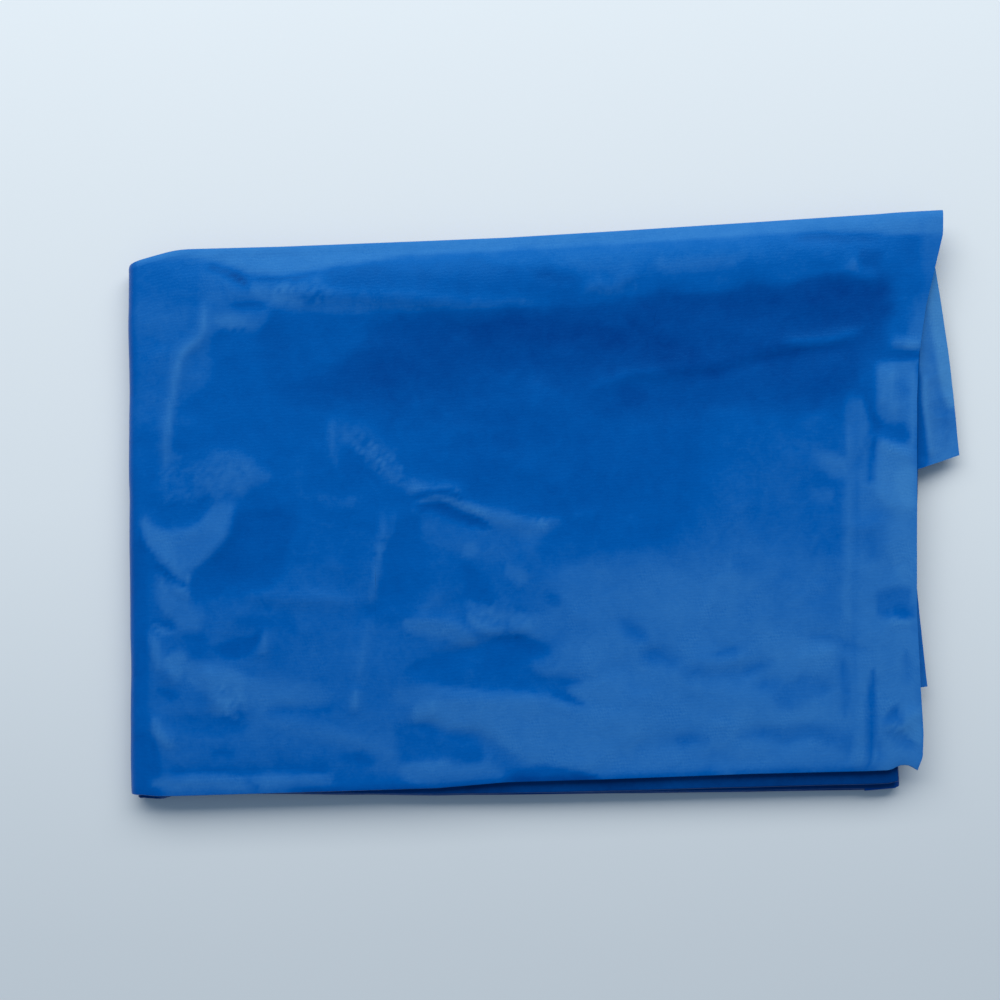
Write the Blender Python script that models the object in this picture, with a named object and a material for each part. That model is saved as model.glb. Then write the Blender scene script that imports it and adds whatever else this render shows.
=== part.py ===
"""PVC bib apron, folded flat into a packet and lying on a table.

The apron is one sheet of thin film. Both long sides are folded in to the centre line, the strip is
folded in two along that line, and its length is then folded in half twice. The book folds lie at
+Y, the gate folds at -Y, the closed ends at -X and the loose ends at +X.

Lengths in the tables are millimetres, and the meshes are made in metres. +Z is up, the table is
z = 0, and the origin is under the middle of the packet's outline.
"""

from collections import namedtuple

import bpy
import numpy as np

MM = 0.001

# The packet, in millimetres
WALL = 1.0            # every modelled sheet
GAP = 0.3             # between two solids that touch
SLACK = 0.25          # more than that where two curved skins lie face to face
PACKET_TOP = 10.2     # upper face of the top sheet, away from its swells
FOLD_RADIUS = 0.9     # of the long folds, to the middle of the sheet
FOLD_RETURN = 3.0     # how far the sheet runs back in under a long fold
NOSE_RADIUS = 2.6     # of the closed fold at the east end, to the middle of the sheet
NOSE_X = 135.6        # outer face of that fold
WEST_SOUTH_X = -155.5
WEST_NORTH_X = -160.3
EAST_SOUTH_Y = -101.0
EAST_NORTH_Y = 112.6
HEM_X = 119.0         # where the welded hem begins
HEM_RISE = 0.35
HEM_BLEND = 7.0
SWELL_PEAK = 21.0     # from the north edge in to the top of the swell along it
EDGE_BLEND = 8.0      # the relief dies out over this distance to the long edges

# Outline of the packet: the north edge of all layers, and the south edge of the top and low ones
Edge = namedtuple("Edge", "x north south_top south_low swell")
OUTLINE = [
    Edge(-160.0, 92.6, -109.3, -110.4, 0.0),
    Edge(-151.0, 95.2, -110.4, -112.7, 0.3),
    Edge(-145.0, 96.7, -111.0, -113.3, 0.5),
    Edge(-137.0, 97.6, -110.9, -111.2, 0.8),
    Edge(-100.0, 98.6, -109.8, -111.1, 1.2),
    Edge(-34.0, 101.3, -108.2, -111.0, 1.5),
    Edge(24.0, 104.4, -105.7, -110.3, 1.8),
    Edge(78.0, 107.9, -103.9, -109.5, 1.6),
    Edge(121.0, 110.8, -102.4, -109.1, 1.1),
    Edge(131.0, 111.5, -101.6, -108.9, 0.8),
    Edge(136.0, 111.8, -101.2, -106.9, 0.6),
    Edge(155.0, 113.0, -100.8, -106.9, 0.2),
]

# East edge of the top sheet, and of the bib's end
Rim = namedtuple("Rim", "y x")
TOP_EAST = [
    Rim(-101.0, 140.4),
    Rim(-96.0, 142.3),
    Rim(-87.0, 142.7),
    Rim(-70.0, 142.0),
    Rim(-41.0, 141.2),
    Rim(12.0, 142.2),
    Rim(40.0, 142.7),
    Rim(58.0, 144.1),
    Rim(76.0, 147.1),
    Rim(92.0, 151.1),
    Rim(104.0, 154.2),
    Rim(112.6, 154.6),
]

# Broad soft ridges and hollows of the top sheet, from one end to the other
Ridge = namedtuple("Ridge", "x0 y0 x1 y1 width height")
RIDGES = [
    Ridge(-120.0, 76.0, -142.0, 30.0, 11.0, 0.7),
    Ridge(-128.0, 4.0, -144.0, -20.0, 14.0, 0.6),
    Ridge(20.0, 43.0, 122.0, 64.0, 9.0, 0.7),
    Ridge(-72.0, 20.0, 20.0, -8.0, 8.0, 0.7),
    Ridge(-60.0, -2.0, -70.0, -82.0, 8.0, 0.4),
    Ridge(-50.0, -60.0, 16.0, -70.0, 14.0, -0.6),
    Ridge(-60.0, -90.0, 30.0, -84.0, 16.0, 0.5),
    Ridge(50.0, -62.0, 98.0, -70.0, 9.0, 0.5),
]

# A loose end under the top sheet: four corners, and how far its outer edge hangs
LooseEnd = namedtuple("LooseEnd", "name inner_south outer_south outer_north inner_north droop")
BIB_END = LooseEnd("bib_end", (113.0, 2.0), (160.3, 18.0), (151.6, 101.0), (113.0, 101.0), 3.6)
BACK_END = LooseEnd(
    "back_skirt_end", (113.0, -74.5), (145.6, -70.2), (139.8, -5.0), (113.0, -5.0), 1.6
)
HANG_START = 4.0      # a loose end begins to hang this far inside the top sheet's edge

# Cross-section of the hidden layers' long edges: inset from the outline, and level as a part of RIM_HALF
Layer = namedtuple("Layer", "inset level")
RIM_LAYERS = [
    Layer(1.7, 0.0),
    Layer(0.9, 0.25),
    Layer(0.7, 0.5),
    Layer(0.9, 0.78),
    Layer(1.7, 1.0),
    Layer(4.8, 1.0),
]
RIM_HALF = 1.7        # half the height of the hidden layers between the returns of two folds
RIM_INSET = 5.0       # where they reach their whole height
CORNER_X = -105.0     # west of here their long edges draw in towards the corners
CORNER_PULL = 3.2
CORNER_RUN = 35.0
BEND_ANGLES = (82.0, 66.0, 48.0, 28.0, 0.0)     # where they follow the west bend, in degrees
BEND_RUN = 10.0       # past the bend, the layered rim opens over this length
POCKET_X = 111.5      # east of here the loose ends lie on the hidden layers
POCKET_STEP = 0.8
HIDDEN_EAST_X = 127.5
BLUNT_RUN = 1.0       # at the east end they draw together over this length,
BLUNT_DROP = 0.6      # by this much on each face

# How finely the curved stretches are divided
FOLD_STEPS = 5
WEST_STEPS = 8
NOSE_STEPS = 6

FILM_BLUE = (0.005, 0.12, 0.50, 1.0)
HEM_BLUE = (0.012, 0.14, 0.50, 1.0)
DEEP_BLUE = (0.003, 0.08, 0.40, 1.0)


def remove_everything():
    """Empty the file without closing it."""
    for item in list(bpy.data.objects):
        bpy.data.objects.remove(item, do_unlink=True)


def ease(value):
    """A soft step from 0 to 1 as value goes from 0 to 1."""
    value = np.clip(value, 0.0, 1.0)
    return value * value * (3.0 - 2.0 * value)


def column(table, key, name, at):
    """Read one column of a table at places along another."""
    return np.interp(at, [getattr(row, key) for row in table], [getattr(row, name) for row in table])


def west_x(across):
    """West face of the packet, from its south corner (0) to its north corner (1)."""
    return WEST_SOUTH_X + across * (WEST_NORTH_X - WEST_SOUTH_X)


def east_x(across):
    """East edge of the top sheet, from its south corner (0) to its north corner (1)."""
    y = EAST_SOUTH_Y + across * (EAST_NORTH_Y - EAST_SOUTH_Y)
    return column(TOP_EAST, "y", "x", y)


def relief(x, y):
    """How far the top sheet stands over PACKET_TOP: swell, ridges and hem."""
    north = column(OUTLINE, "x", "north", x)
    south = column(OUTLINE, "x", "south_top", x)
    inward = np.clip(north - y, 0.0, None) / SWELL_PEAK
    height = column(OUTLINE, "x", "swell", x) * inward * np.exp(1.0 - inward)
    for row in RIDGES:
        run = np.array([row.x1 - row.x0, row.y1 - row.y0])
        length = np.hypot(*run)
        along = ((x - row.x0) * run[0] + (y - row.y0) * run[1]) / length
        beside = ((y - row.y0) * run[0] - (x - row.x0) * run[1]) / length
        beyond = np.clip(np.maximum(-along, along - length), 0.0, None)
        height += row.height * np.exp(-(beside**2 + beyond**2) / row.width**2)
    height += HEM_RISE * ease((x - HEM_X) / HEM_BLEND)
    edge = np.minimum(north - y, y - south)
    return height * ease(edge / EDGE_BLEND)


def section_across(steps):
    """Stations across the packet: part of the width, shift in y, depth in from the face.

    They run from the return under the south fold, round that fold, over the panel, and round the
    north fold to its return.
    """
    centre = WALL / 2 + FOLD_RADIUS
    angles = np.linspace(0.0, np.pi, FOLD_STEPS + 1)
    part, shift, depth = [1.0], [-centre - FOLD_RETURN], [-2 * FOLD_RADIUS]
    for angle in angles[::-1]:
        part.append(1.0)
        shift.append(-centre + FOLD_RADIUS * np.sin(angle))
        depth.append(-FOLD_RADIUS * (1.0 - np.cos(angle)))
    inner = np.linspace(0.0, 1.0, steps + 1)[1:-1]
    north = (np.array(part), np.array(shift), np.array(depth))
    south = (1.0 - north[0], -north[1], north[2])
    panel = (inner, centre * (1.0 - 2.0 * inner), np.zeros_like(inner))
    return [np.concatenate([s, p, n[::-1]]) for s, p, n in zip(south, panel, north)]


def outer_sheet_surface(top_steps=29, bottom_steps=7, across_steps=18):
    """Middle surface of the outer sheet, a row for each station along its path.

    The path runs west along the top, round the west bend, east along the bottom, and round the
    closed nose at the east end.
    """
    part, shift, depth = section_across(across_steps)
    radius = (PACKET_TOP - WALL) / 2
    bend_x = west_x(part) + WALL / 2 + radius
    nose_x = np.full_like(part, NOSE_X - WALL / 2 - NOSE_RADIUS)
    low, high = WALL / 2, PACKET_TOP - WALL / 2
    rows = []

    def add_row(x, z, facing_x, facing_z, lowness):
        """One row: its place along the path, where the face looks, and how low its leg lies."""
        south_top = column(OUTLINE, "x", "south_top", x)
        south_low = column(OUTLINE, "x", "south_low", x)
        south = south_top + lowness * (south_low - south_top)
        north = column(OUTLINE, "x", "north", x)
        y = south + part * (north - south) + shift
        swell = relief(x, y) * (1.0 - lowness) * (depth == 0.0)
        rows.append(np.stack([x + depth * facing_x, y, z + depth * facing_z + swell], axis=-1))

    for step in np.linspace(0.0, 1.0, top_steps + 1)[:-1]:
        add_row(east_x(part) + step * (bend_x - east_x(part)), high, 0.0, 1.0, 0.0)
    for angle in np.linspace(0.0, np.pi, WEST_STEPS + 1):
        x = bend_x - radius * np.sin(angle)
        z = low + radius * (1.0 + np.cos(angle))
        add_row(x, z, -np.sin(angle), np.cos(angle), angle / np.pi)
    for step in np.linspace(0.0, 1.0, bottom_steps + 1)[1:-1]:
        add_row(bend_x + step * (nose_x - bend_x), low, 0.0, -1.0, 1.0)
    for angle in np.linspace(0.0, np.pi, NOSE_STEPS + 1):
        x = nose_x + NOSE_RADIUS * np.sin(angle)
        z = low + NOSE_RADIUS * (1.0 - np.cos(angle))
        add_row(x, z, np.sin(angle), -np.cos(angle), 1.0)
    return np.array(rows)


def loose_end_surface(end, steps_x=8, steps_y=10):
    """Middle surface of a loose end: it follows the top sheet, then hangs past its edge."""
    u = np.linspace(0.0, 1.0, steps_x + 1)[:, None, None]
    v = np.linspace(0.0, 1.0, steps_y + 1)[None, :, None]
    south = (1.0 - u) * np.array(end.inner_south) + u * np.array(end.outer_south)
    north = (1.0 - u) * np.array(end.inner_north) + u * np.array(end.outer_north)
    plan = (1.0 - v) * south + v * north
    x, y = plan[..., 0], plan[..., 1]
    rim_x = column(TOP_EAST, "y", "x", y)
    reach = np.max(x - rim_x)
    hang = end.droop * ease((x - rim_x + HANG_START) / (reach + HANG_START))
    z = PACKET_TOP - 1.5 * WALL - GAP - SLACK + relief(x, y) - hang
    return np.stack([x, y, z], axis=-1)


def unit(vectors):
    """Vectors of length 1."""
    return vectors / np.linalg.norm(vectors, axis=-1, keepdims=True)


def thicken(surface, wall):
    """A closed wall on a middle surface: vertices and faces, facing out."""
    along = np.gradient(surface, axis=0)
    across = np.gradient(surface, axis=1)
    normal = unit(np.cross(along, across))
    rows, columns = surface.shape[:2]
    count = rows * columns
    vertices = np.concatenate([surface + normal * wall / 2, surface - normal * wall / 2]).reshape(-1, 3)
    index = np.arange(count).reshape(rows, columns)
    corners = [index[:-1, :-1], index[1:, :-1], index[1:, 1:], index[:-1, 1:]]
    quads = np.stack(corners, axis=-1).reshape(-1, 4)
    border = np.concatenate([index[0, :], index[1:, -1], index[-1, -2::-1], index[-2:0:-1, 0]])
    ahead = np.roll(border, -1)
    rim = np.stack([border, ahead, ahead + count, border + count], axis=-1)
    return vertices, np.concatenate([quads, quads[:, ::-1] + count, rim]).tolist()


def hidden_layers_body(steps=19, across_steps=12):
    """The layers inside the packet: an upper and a lower skin that meet along each long edge.

    Columns run across the packet: the layered rim, the panel, and the rim of the other edge. Rows
    run from the west bend to the loose ends.
    """
    radius = PACKET_TOP / 2 - WALL - GAP - SLACK
    middle = PACKET_TOP / 2
    rim = np.array(RIM_LAYERS)
    inner = np.linspace(0.0, 1.0, across_steps + 1)
    part = np.concatenate([np.zeros(len(rim)), inner, np.ones(len(rim))])
    inset = np.concatenate([rim[:, 0], RIM_INSET * (1.0 - 2.0 * inner), -rim[::-1, 0]])
    level = np.concatenate([rim[:, 1], np.full_like(inner, np.nan), rim[::-1, 1]])
    on_rim = ~np.isnan(level)
    bend_x = west_x(part) + PACKET_TOP / 2
    angles = np.radians(BEND_ANGLES)
    stations = [(bend_x - radius * np.sin(angle), np.cos(angle)) for angle in angles]
    for step in np.linspace(0.0, 1.0, steps + 1)[1:]:
        stations.append((bend_x + step * (POCKET_X - bend_x), 1.0))
    half_way = (POCKET_X + HIDDEN_EAST_X) / 2
    for x in (POCKET_X + POCKET_STEP, half_way, HIDDEN_EAST_X - BLUNT_RUN, HIDDEN_EAST_X):
        stations.append((np.full_like(part, x), 1.0))

    upper, lower = [], []
    for number, (x, open_part) in enumerate(stations):
        past_bend = ease((x - bend_x) / BEND_RUN)
        shown = np.where(on_rim, past_bend, 0.0)
        pull = np.where(part > 0.5, -RIM_INSET, RIM_INSET)
        shift = np.where(on_rim, pull + shown * (inset - pull), inset)
        pull_in = CORNER_PULL * ease((CORNER_X - x) / CORNER_RUN)
        south = column(OUTLINE, "x", "south_top", x) + pull_in
        north = column(OUTLINE, "x", "north", x) - pull_in
        y = south + part * (north - south) + shift
        pocket = np.where(x > POCKET_X + POCKET_STEP / 2, WALL + GAP + SLACK / 2, 0.0)
        blunt = BLUNT_DROP if number == len(stations) - 1 else 0.0
        top = PACKET_TOP - WALL - GAP - SLACK - pocket - blunt + relief(x, y)
        layered = RIM_HALF * np.nan_to_num(level)
        rise = np.where(on_rim, layered, top - middle)
        fall = np.where(on_rim, layered, middle - WALL - GAP - blunt)
        upper.append(np.stack([x, y, middle + open_part * rise], axis=-1))
        lower.append(np.stack([x, y, middle - open_part * fall], axis=-1))
    upper, lower = np.array(upper), np.array(lower)

    rows, columns = upper.shape[:2]
    over = np.arange(rows * columns).reshape(rows, columns)
    under = over + rows * columns
    under[:, 0], under[:, -1] = over[:, 0], over[:, -1]
    faces = []
    for i in range(rows - 1):
        for j in range(columns - 1):
            faces.append([over[i, j], over[i + 1, j], over[i + 1, j + 1], over[i, j + 1]])
            faces.append([under[i, j], under[i, j + 1], under[i + 1, j + 1], under[i + 1, j]])
    for j in range(columns - 1):
        for i, turned in ((0, False), (rows - 1, True)):
            loop = [over[i, j], over[i, j + 1], under[i, j + 1], under[i, j]]
            loop = list(dict.fromkeys(loop))
            faces.append(loop[::-1] if turned else loop)
    vertices = np.concatenate([upper.reshape(-1, 3), lower.reshape(-1, 3)])
    used = np.unique(np.concatenate([np.array(face) for face in faces]))
    renumber = np.full(len(vertices), -1)
    renumber[used] = np.arange(len(used))
    return vertices[used], [[int(renumber[v]) for v in face] for face in faces]


def film(name, colour, roughness=0.38):
    """A glossy PVC film finish."""
    material = bpy.data.materials.new(name)
    material.use_nodes = True
    shader = material.node_tree.nodes["Principled BSDF"]
    shader.inputs["Base Color"].default_value = colour
    shader.inputs["Roughness"].default_value = roughness
    shader.inputs["Metallic"].default_value = 0.0
    return material


def add_piece(name, body, material):
    """One closed solid as an object of its own, its mesh in metres."""
    vertices, faces = body
    mesh = bpy.data.meshes.new(name)
    mesh.from_pydata((np.asarray(vertices) * MM).tolist(), [], faces)
    mesh.update()
    mesh.shade_smooth()
    mesh.set_sharp_from_angle(angle=np.radians(40.0))
    mesh.materials.append(material)
    piece = bpy.data.objects.new(name, mesh)
    bpy.context.scene.collection.objects.link(piece)
    return piece


def main():
    """Build the four solids of the packet."""
    remove_everything()
    bib, back = loose_end_surface(BIB_END), loose_end_surface(BACK_END, steps_x=6, steps_y=7)
    add_piece("outer_sheet", thicken(outer_sheet_surface(), WALL), film("outer_film", FILM_BLUE))
    add_piece("hidden_layers", hidden_layers_body(), film("inner_film", DEEP_BLUE))
    add_piece(BIB_END.name, thicken(bib, WALL), film("bib_film", HEM_BLUE))
    add_piece(BACK_END.name, thicken(back, WALL), film("back_film", HEM_BLUE))


main()
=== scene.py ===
"""Looks of a PVC bib apron, folded flat into a packet and lying on a pale table.

The apron is one sheet of thin embossed film. Its sides are gate-folded to the centre line, the strip
is folded in two along that line, and its length is folded in half twice. Seen from its long side the
strip then runs like a snake: along the top, round the west end, along the bottom, round a closed
nose at the east end, back inside, round an inner fold, and out to the bib's loose end.

Lengths are millimetres in the tables and in the shape functions, and metres in the meshes. +X runs
towards the loose ends, +Y towards the long book folds, +Z up, and the table is z = 0.
"""

from __future__ import annotations

import logging
from dataclasses import dataclass
from enum import Enum, IntEnum
from typing import Mapping, Sequence

import bpy
import numpy as np
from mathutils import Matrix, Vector


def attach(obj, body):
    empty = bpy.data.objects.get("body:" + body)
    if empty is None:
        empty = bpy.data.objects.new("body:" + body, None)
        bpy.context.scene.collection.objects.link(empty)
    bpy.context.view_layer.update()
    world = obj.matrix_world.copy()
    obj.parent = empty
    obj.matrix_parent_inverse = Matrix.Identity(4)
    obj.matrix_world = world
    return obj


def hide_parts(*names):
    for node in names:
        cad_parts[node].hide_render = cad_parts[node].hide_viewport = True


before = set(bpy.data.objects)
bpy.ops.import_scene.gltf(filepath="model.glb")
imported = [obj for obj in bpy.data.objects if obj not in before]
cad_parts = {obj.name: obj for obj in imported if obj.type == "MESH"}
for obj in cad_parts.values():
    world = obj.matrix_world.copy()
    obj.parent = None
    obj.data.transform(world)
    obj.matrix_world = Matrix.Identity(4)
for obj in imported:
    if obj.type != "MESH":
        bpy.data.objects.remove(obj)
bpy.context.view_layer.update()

Array = np.ndarray
Points = tuple[tuple[float, float], ...]
Colour = tuple[float, float, float]
Settings = Mapping[str, object]
Inputs = Mapping[str | int, object]

MM = 0.001
BODY = "root"
LOG = logging.getLogger("apron")

# millimetres: the packet's flat top over the table, and the thickness of a wall of film
PACKET_TOP = 10.2
FILM_WALL = 0.4
# the palest tone that is drawn
MOST_TONE = 1.3
# degrees between two faces past which the shading breaks
SHARP_ANGLE = 50.0
# lattice nodes each way in the noise, after which it repeats
LATTICE_NODES = 97


# ---- Soft functions ----


def ease(value: Array) -> Array:
    """Soft step: 0 below 0, 1 above 1, and 3v^2 - 2v^3 between."""
    value = np.clip(value, 0.0, 1.0)
    return value * value * (3.0 - 2.0 * value)


def soft_line(at: Array, places: Sequence[float], values: Sequence[float], blend: float) -> Array:
    """Read a broken line with its corners rounded: the mean of five reads spread over the blend.

    Args:
        at: where the line is read.
        places: the line's stations, rising.
        values: its value at each station.
        blend: the length over which a corner is rounded.

    Returns:
        The value at each place.
    """
    shifts = np.linspace(-0.5, 0.5, 5) * blend
    return np.mean([np.interp(at + shift, places, values) for shift in shifts], axis=0)


def lattice_noise(u: Array, v: Array, pitch: float, seed: int) -> Array:
    """Smooth seeded noise, about -1 to 1: random numbers on a square lattice, eased between its nodes.

    Args:
        u: first coordinate.
        v: second coordinate.
        pitch: the lattice's spacing.
        seed: picks the random numbers.

    Returns:
        The noise at each place.
    """
    size = LATTICE_NODES
    table = np.random.default_rng(seed).uniform(-1.0, 1.0, (size, size))
    column, row = np.broadcast_arrays(u / pitch, v / pitch)
    left, low = np.floor(column).astype(int), np.floor(row).astype(int)
    across, up = ease(column - left), ease(row - low)
    corner = [[table[(left + i) % size, (low + j) % size] for j in (0, 1)] for i in (0, 1)]
    south = corner[0][0] * (1.0 - across) + corner[1][0] * across
    north = corner[0][1] * (1.0 - across) + corner[1][1] * across
    return south * (1.0 - up) + north * up


def crumple(u: Array, v: Array, pitch: float, seed: int) -> Array:
    """Sharp little ridges among soft hollows: one minus the noise's size, the noise read on bent axes.

    Args:
        u: first coordinate.
        v: second coordinate.
        pitch: the ridges' spacing.
        seed: picks the random numbers, with the two seeds after it.

    Returns:
        The crumple at each place, about -1 to 1.
    """
    bend, bend_pitch = 0.45 * pitch, 1.7 * pitch
    shifted_u = u + bend * lattice_noise(u, v, bend_pitch, seed + 1)
    shifted_v = v + bend * lattice_noise(u, v, bend_pitch, seed + 2)
    return 1.0 - 2.0 * np.abs(lattice_noise(shifted_u, shifted_v, pitch, seed))


@dataclass(frozen=True)
class Ramp:
    """A soft step along an axis, 0 at its start and 1 at its stop."""

    start: float
    stop: float

    def at(self, value: Array) -> Array:
        """Its value at places along the axis."""
        return ease((value - self.start) / (self.stop - self.start))


@dataclass(frozen=True)
class Ripple:
    """A seeded unevenness: how high it is, how widely it is spaced, and its random numbers."""

    height: float
    pitch: float
    seed: int

    def waves(self, u: Array, v: Array) -> Array:
        """Soft waves at each place."""
        return self.height * lattice_noise(u, v, self.pitch, self.seed)

    def ridges(self, u: Array, v: Array) -> Array:
        """Sharp little ridges at each place."""
        return self.height * crumple(u, v, self.pitch, self.seed)


# ---- Outline of the packet ----


@dataclass(frozen=True)
class Edge:
    """The packet's two long edges at one station along its length, and the height of its swell."""

    x: float
    north: float
    south_top: float
    south_low: float
    swell: float


@dataclass(frozen=True)
class Rim:
    """One point of the top sheet's cut end."""

    y: float
    x: float


@dataclass(frozen=True)
class Outline:
    """The packet's plan: long edges, slanted west end and the hem's cut edge."""

    edges: tuple[Edge, ...] = (
        Edge(-160.0, 91.9, -109.3, -110.4, 0.0),
        Edge(-151.0, 94.6, -110.4, -112.7, 0.2),
        Edge(-145.0, 96.3, -111.0, -113.3, 0.5),
        Edge(-141.0, 97.2, -110.9, -111.6, 0.7),
        Edge(-137.0, 97.6, -110.9, -111.2, 0.9),
        Edge(-100.0, 98.6, -109.8, -111.3, 1.7),
        Edge(-40.0, 101.0, -108.0, -111.7, 2.6),
        Edge(-14.0, 102.1, -105.8, -111.6, 2.7),
        Edge(24.0, 104.4, -104.7, -111.1, 2.8),
        Edge(78.0, 107.9, -102.7, -110.5, 2.5),
        Edge(121.0, 110.8, -101.7, -109.7, 1.6),
        Edge(130.5, 111.4, -101.3, -109.3, 1.2),
        Edge(133.5, 111.7, -99.4, -108.6, 1.0),
        Edge(137.5, 112.0, -99.4, -107.0, 0.8),
        Edge(140.5, 112.2, -101.6, -106.8, 0.7),
        Edge(155.0, 113.0, -103.0, -106.5, 0.3),
    )
    cut_end: tuple[Rim, ...] = (
        Rim(-101.0, 140.4),
        Rim(-96.0, 142.3),
        Rim(-87.0, 142.7),
        Rim(-70.0, 142.0),
        Rim(-41.0, 141.2),
        Rim(12.0, 142.2),
        Rim(40.0, 142.7),
        Rim(58.0, 144.1),
        Rim(76.0, 147.1),
        Rim(92.0, 151.1),
        Rim(104.0, 154.2),
        Rim(112.6, 154.6),
    )
    west_south: float = -155.5
    west_north: float = -160.3
    east_south: float = -101.0
    east_north: float = 112.6
    blend: float = 2.5

    def column(self, name: str, x: Array) -> Array:
        """Read one column of the edges' table at places along the packet."""
        places = [edge.x for edge in self.edges]
        return soft_line(x, places, [getattr(edge, name) for edge in self.edges], self.blend)

    def north(self, x: Array) -> Array:
        """The book folds' edge."""
        return self.column("north", x)

    def south(self, x: Array, lowness: Array) -> Array:
        """The gate folds' edge, from the top sheet's (lowness 0) to the low layers' (lowness 1)."""
        top, low = self.column("south_top", x), self.column("south_low", x)
        return top + lowness * (low - top)

    def west(self, part: Array) -> Array:
        """The west face, from its south corner (part 0) to its north corner (part 1)."""
        return self.west_south + part * (self.west_north - self.west_south)

    def east_at(self, y: Array) -> Array:
        """The hem's cut edge at places across the packet."""
        places = [rim.y for rim in self.cut_end]
        return soft_line(y, places, [rim.x for rim in self.cut_end], 0.6 * self.blend)

    def east(self, part: Array) -> Array:
        """The hem's cut edge, from its south corner (part 0) to its north corner (part 1)."""
        return self.east_at(self.east_south + part * (self.east_north - self.east_south))


# ---- The camera's view, on which the marks are drawn ----


@dataclass(frozen=True)
class View:
    """The camera, and the picture plane on which the film's marks are drawn.

    The plane's millimetres are those of the packet's middle. Elsewhere they differ a little from
    the packet's own, because the camera looks down at a slant.
    """

    place: tuple[float, float, float] = (-16.3, -36.4, 536.7)
    target: tuple[float, float, float] = (-16.3, 1.1, 0.0)
    lens: float = 50.0
    middle: tuple[float, float] = (-16.9, 1.9)
    reach: tuple[float, float] = (531.9, 529.2)

    def seen(self, x: Array, y: Array, z: Array) -> tuple[Array, Array]:
        """Where points of the packet show on the picture plane: offsets over depth, scaled.

        Args:
            x: places along the packet.
            y: places across the packet.
            z: heights over the table.

        Returns:
            The two coordinates on the picture plane.
        """
        ahead = np.subtract(self.target, self.place)
        ahead = ahead / np.linalg.norm(ahead)
        right, away, rise = x - self.place[0], y - self.place[1], z - self.place[2]
        depth = away * ahead[1] + rise * ahead[2]
        up = rise * ahead[1] - away * ahead[2]
        return self.middle[0] + self.reach[0] * right / depth, self.middle[1] + self.reach[1] * up / depth


# ---- Creases and patches of the film ----


def smooth_curve(points: Points, closed: bool, steps: int) -> Array:
    """Join points by one smooth curve: a Catmull-Rom cubic for each stretch.

    Args:
        points: the places that the curve goes through.
        closed: whether it returns to its start.
        steps: straight steps to each stretch.

    Returns:
        The curve's points, with the first one repeated at the end of a closed curve.
    """
    knots = np.array(points, float)
    if closed:
        ends = np.vstack([knots[-1:], knots, knots[:2]])
    else:
        ends = np.vstack([2 * knots[0] - knots[1], knots, 2 * knots[-1] - knots[-2]])
    part = np.linspace(0.0, 1.0, steps + 1)[:-1, None]
    pieces = []
    for before, start, stop, after in zip(ends, ends[1:], ends[2:], ends[3:]):
        linear = (stop - before) / 2
        square = before - 2.5 * start + 2 * stop - 0.5 * after
        cube = (after - before) / 2 + 1.5 * (start - stop)
        pieces.append(start + part * (linear + part * (square + part * cube)))
    return np.vstack([*pieces, ends[-2:-1]])


@dataclass(frozen=True)
class Reading:
    """How places lie to a curve: distance, side (1 on its left hand), part of its length, inside or not."""

    gap: Array
    side: Array
    part: Array
    inside: Array


def read_curve(curve: Array, x: Array, y: Array) -> Reading:
    """Measure places against a curve, segment by segment.

    Args:
        curve: the curve's points.
        x: first coordinate of the places.
        y: second coordinate of the places.

    Returns:
        The reading; inside is the even-odd test and means something for closed curves only.
    """
    spans = np.maximum(np.linalg.norm(np.diff(curve, axis=0), axis=1), 1e-6)  # none of length 0
    gap, side, part = np.full(x.shape, np.inf), np.ones(x.shape), np.zeros(x.shape)
    inside = np.zeros(x.shape, bool)
    done = 0.0
    for start, stop, span in zip(curve[:-1], curve[1:], spans):
        run = (stop - start) / span
        dx, dy = x - start[0], y - start[1]
        along = np.clip(dx * run[0] + dy * run[1], 0.0, span)
        off = np.hypot(dx - along * run[0], dy - along * run[1])
        closer = off < gap
        gap = np.where(closer, off, gap)
        turned = run[0] * dy - run[1] * dx
        side = np.where(closer, np.sign(turned), side)
        part = np.where(closer, (done + along) / spans.sum(), part)
        crosses = (start[1] > y) != (stop[1] > y)
        inside ^= crosses & ((turned > 0) == (stop[1] > start[1]))
        done += span
    return Reading(gap, side, part, inside)


def near_curve(curve: Array, x: Array, y: Array, reach: float) -> Array:
    """Which places lie in the curve's box, widened by a reach."""
    low, high = curve.min(axis=0) - reach, curve.max(axis=0) + reach
    return (x > low[0]) & (x < high[0]) & (y > low[1]) & (y < high[1])


@dataclass(frozen=True)
class Crease:
    """A crease in the film: a crisp line through a few points, with a slope on either side.

    The left side is the one on the left hand of someone who walks along the points. A ridge has a
    positive height, a trough a negative one. The tone is added along the crease in the same shape,
    mostly as painted highlight along a ridge and painted shade in a trough.
    Fade is the part of its length over which each end dies away down to the stub, and reach is the
    distance, in widths, past which it isn't felt.
    """

    points: Points
    height: float
    left: float
    right: float
    tone: float = 0.0
    fade: float = 0.25
    rounding: float = 0.6
    blur: float = 0.25
    stub: float = 0.08
    reach: float = 4.5

    def profile(self, x: Array, y: Array) -> Array:
        """Height 1 on the crease's line, falling off on each side over that side's width.

        The fall is e to the minus distance over width, with the line itself slightly rounded, and
        the whole fades out towards the crease's two ends.

        Args:
            x: first coordinate on the picture plane.
            y: second coordinate on the picture plane.

        Returns:
            The profile at each place.
        """
        curve = smooth_curve(self.points, closed=False, steps=4)
        near = near_curve(curve, x, y, self.reach * max(self.left, self.right))
        reading = read_curve(curve, x[near], y[near])
        width = np.where(reading.side > 0, self.left, self.right) + self.blur
        rounded = np.sqrt(reading.gap**2 + self.rounding**2) - self.rounding
        ends = ease(np.minimum(reading.part, 1.0 - reading.part) / self.fade + self.stub)
        shape = np.zeros(x.shape)
        shape[near] = np.exp(-rounded / width) * ends
        return shape


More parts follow.
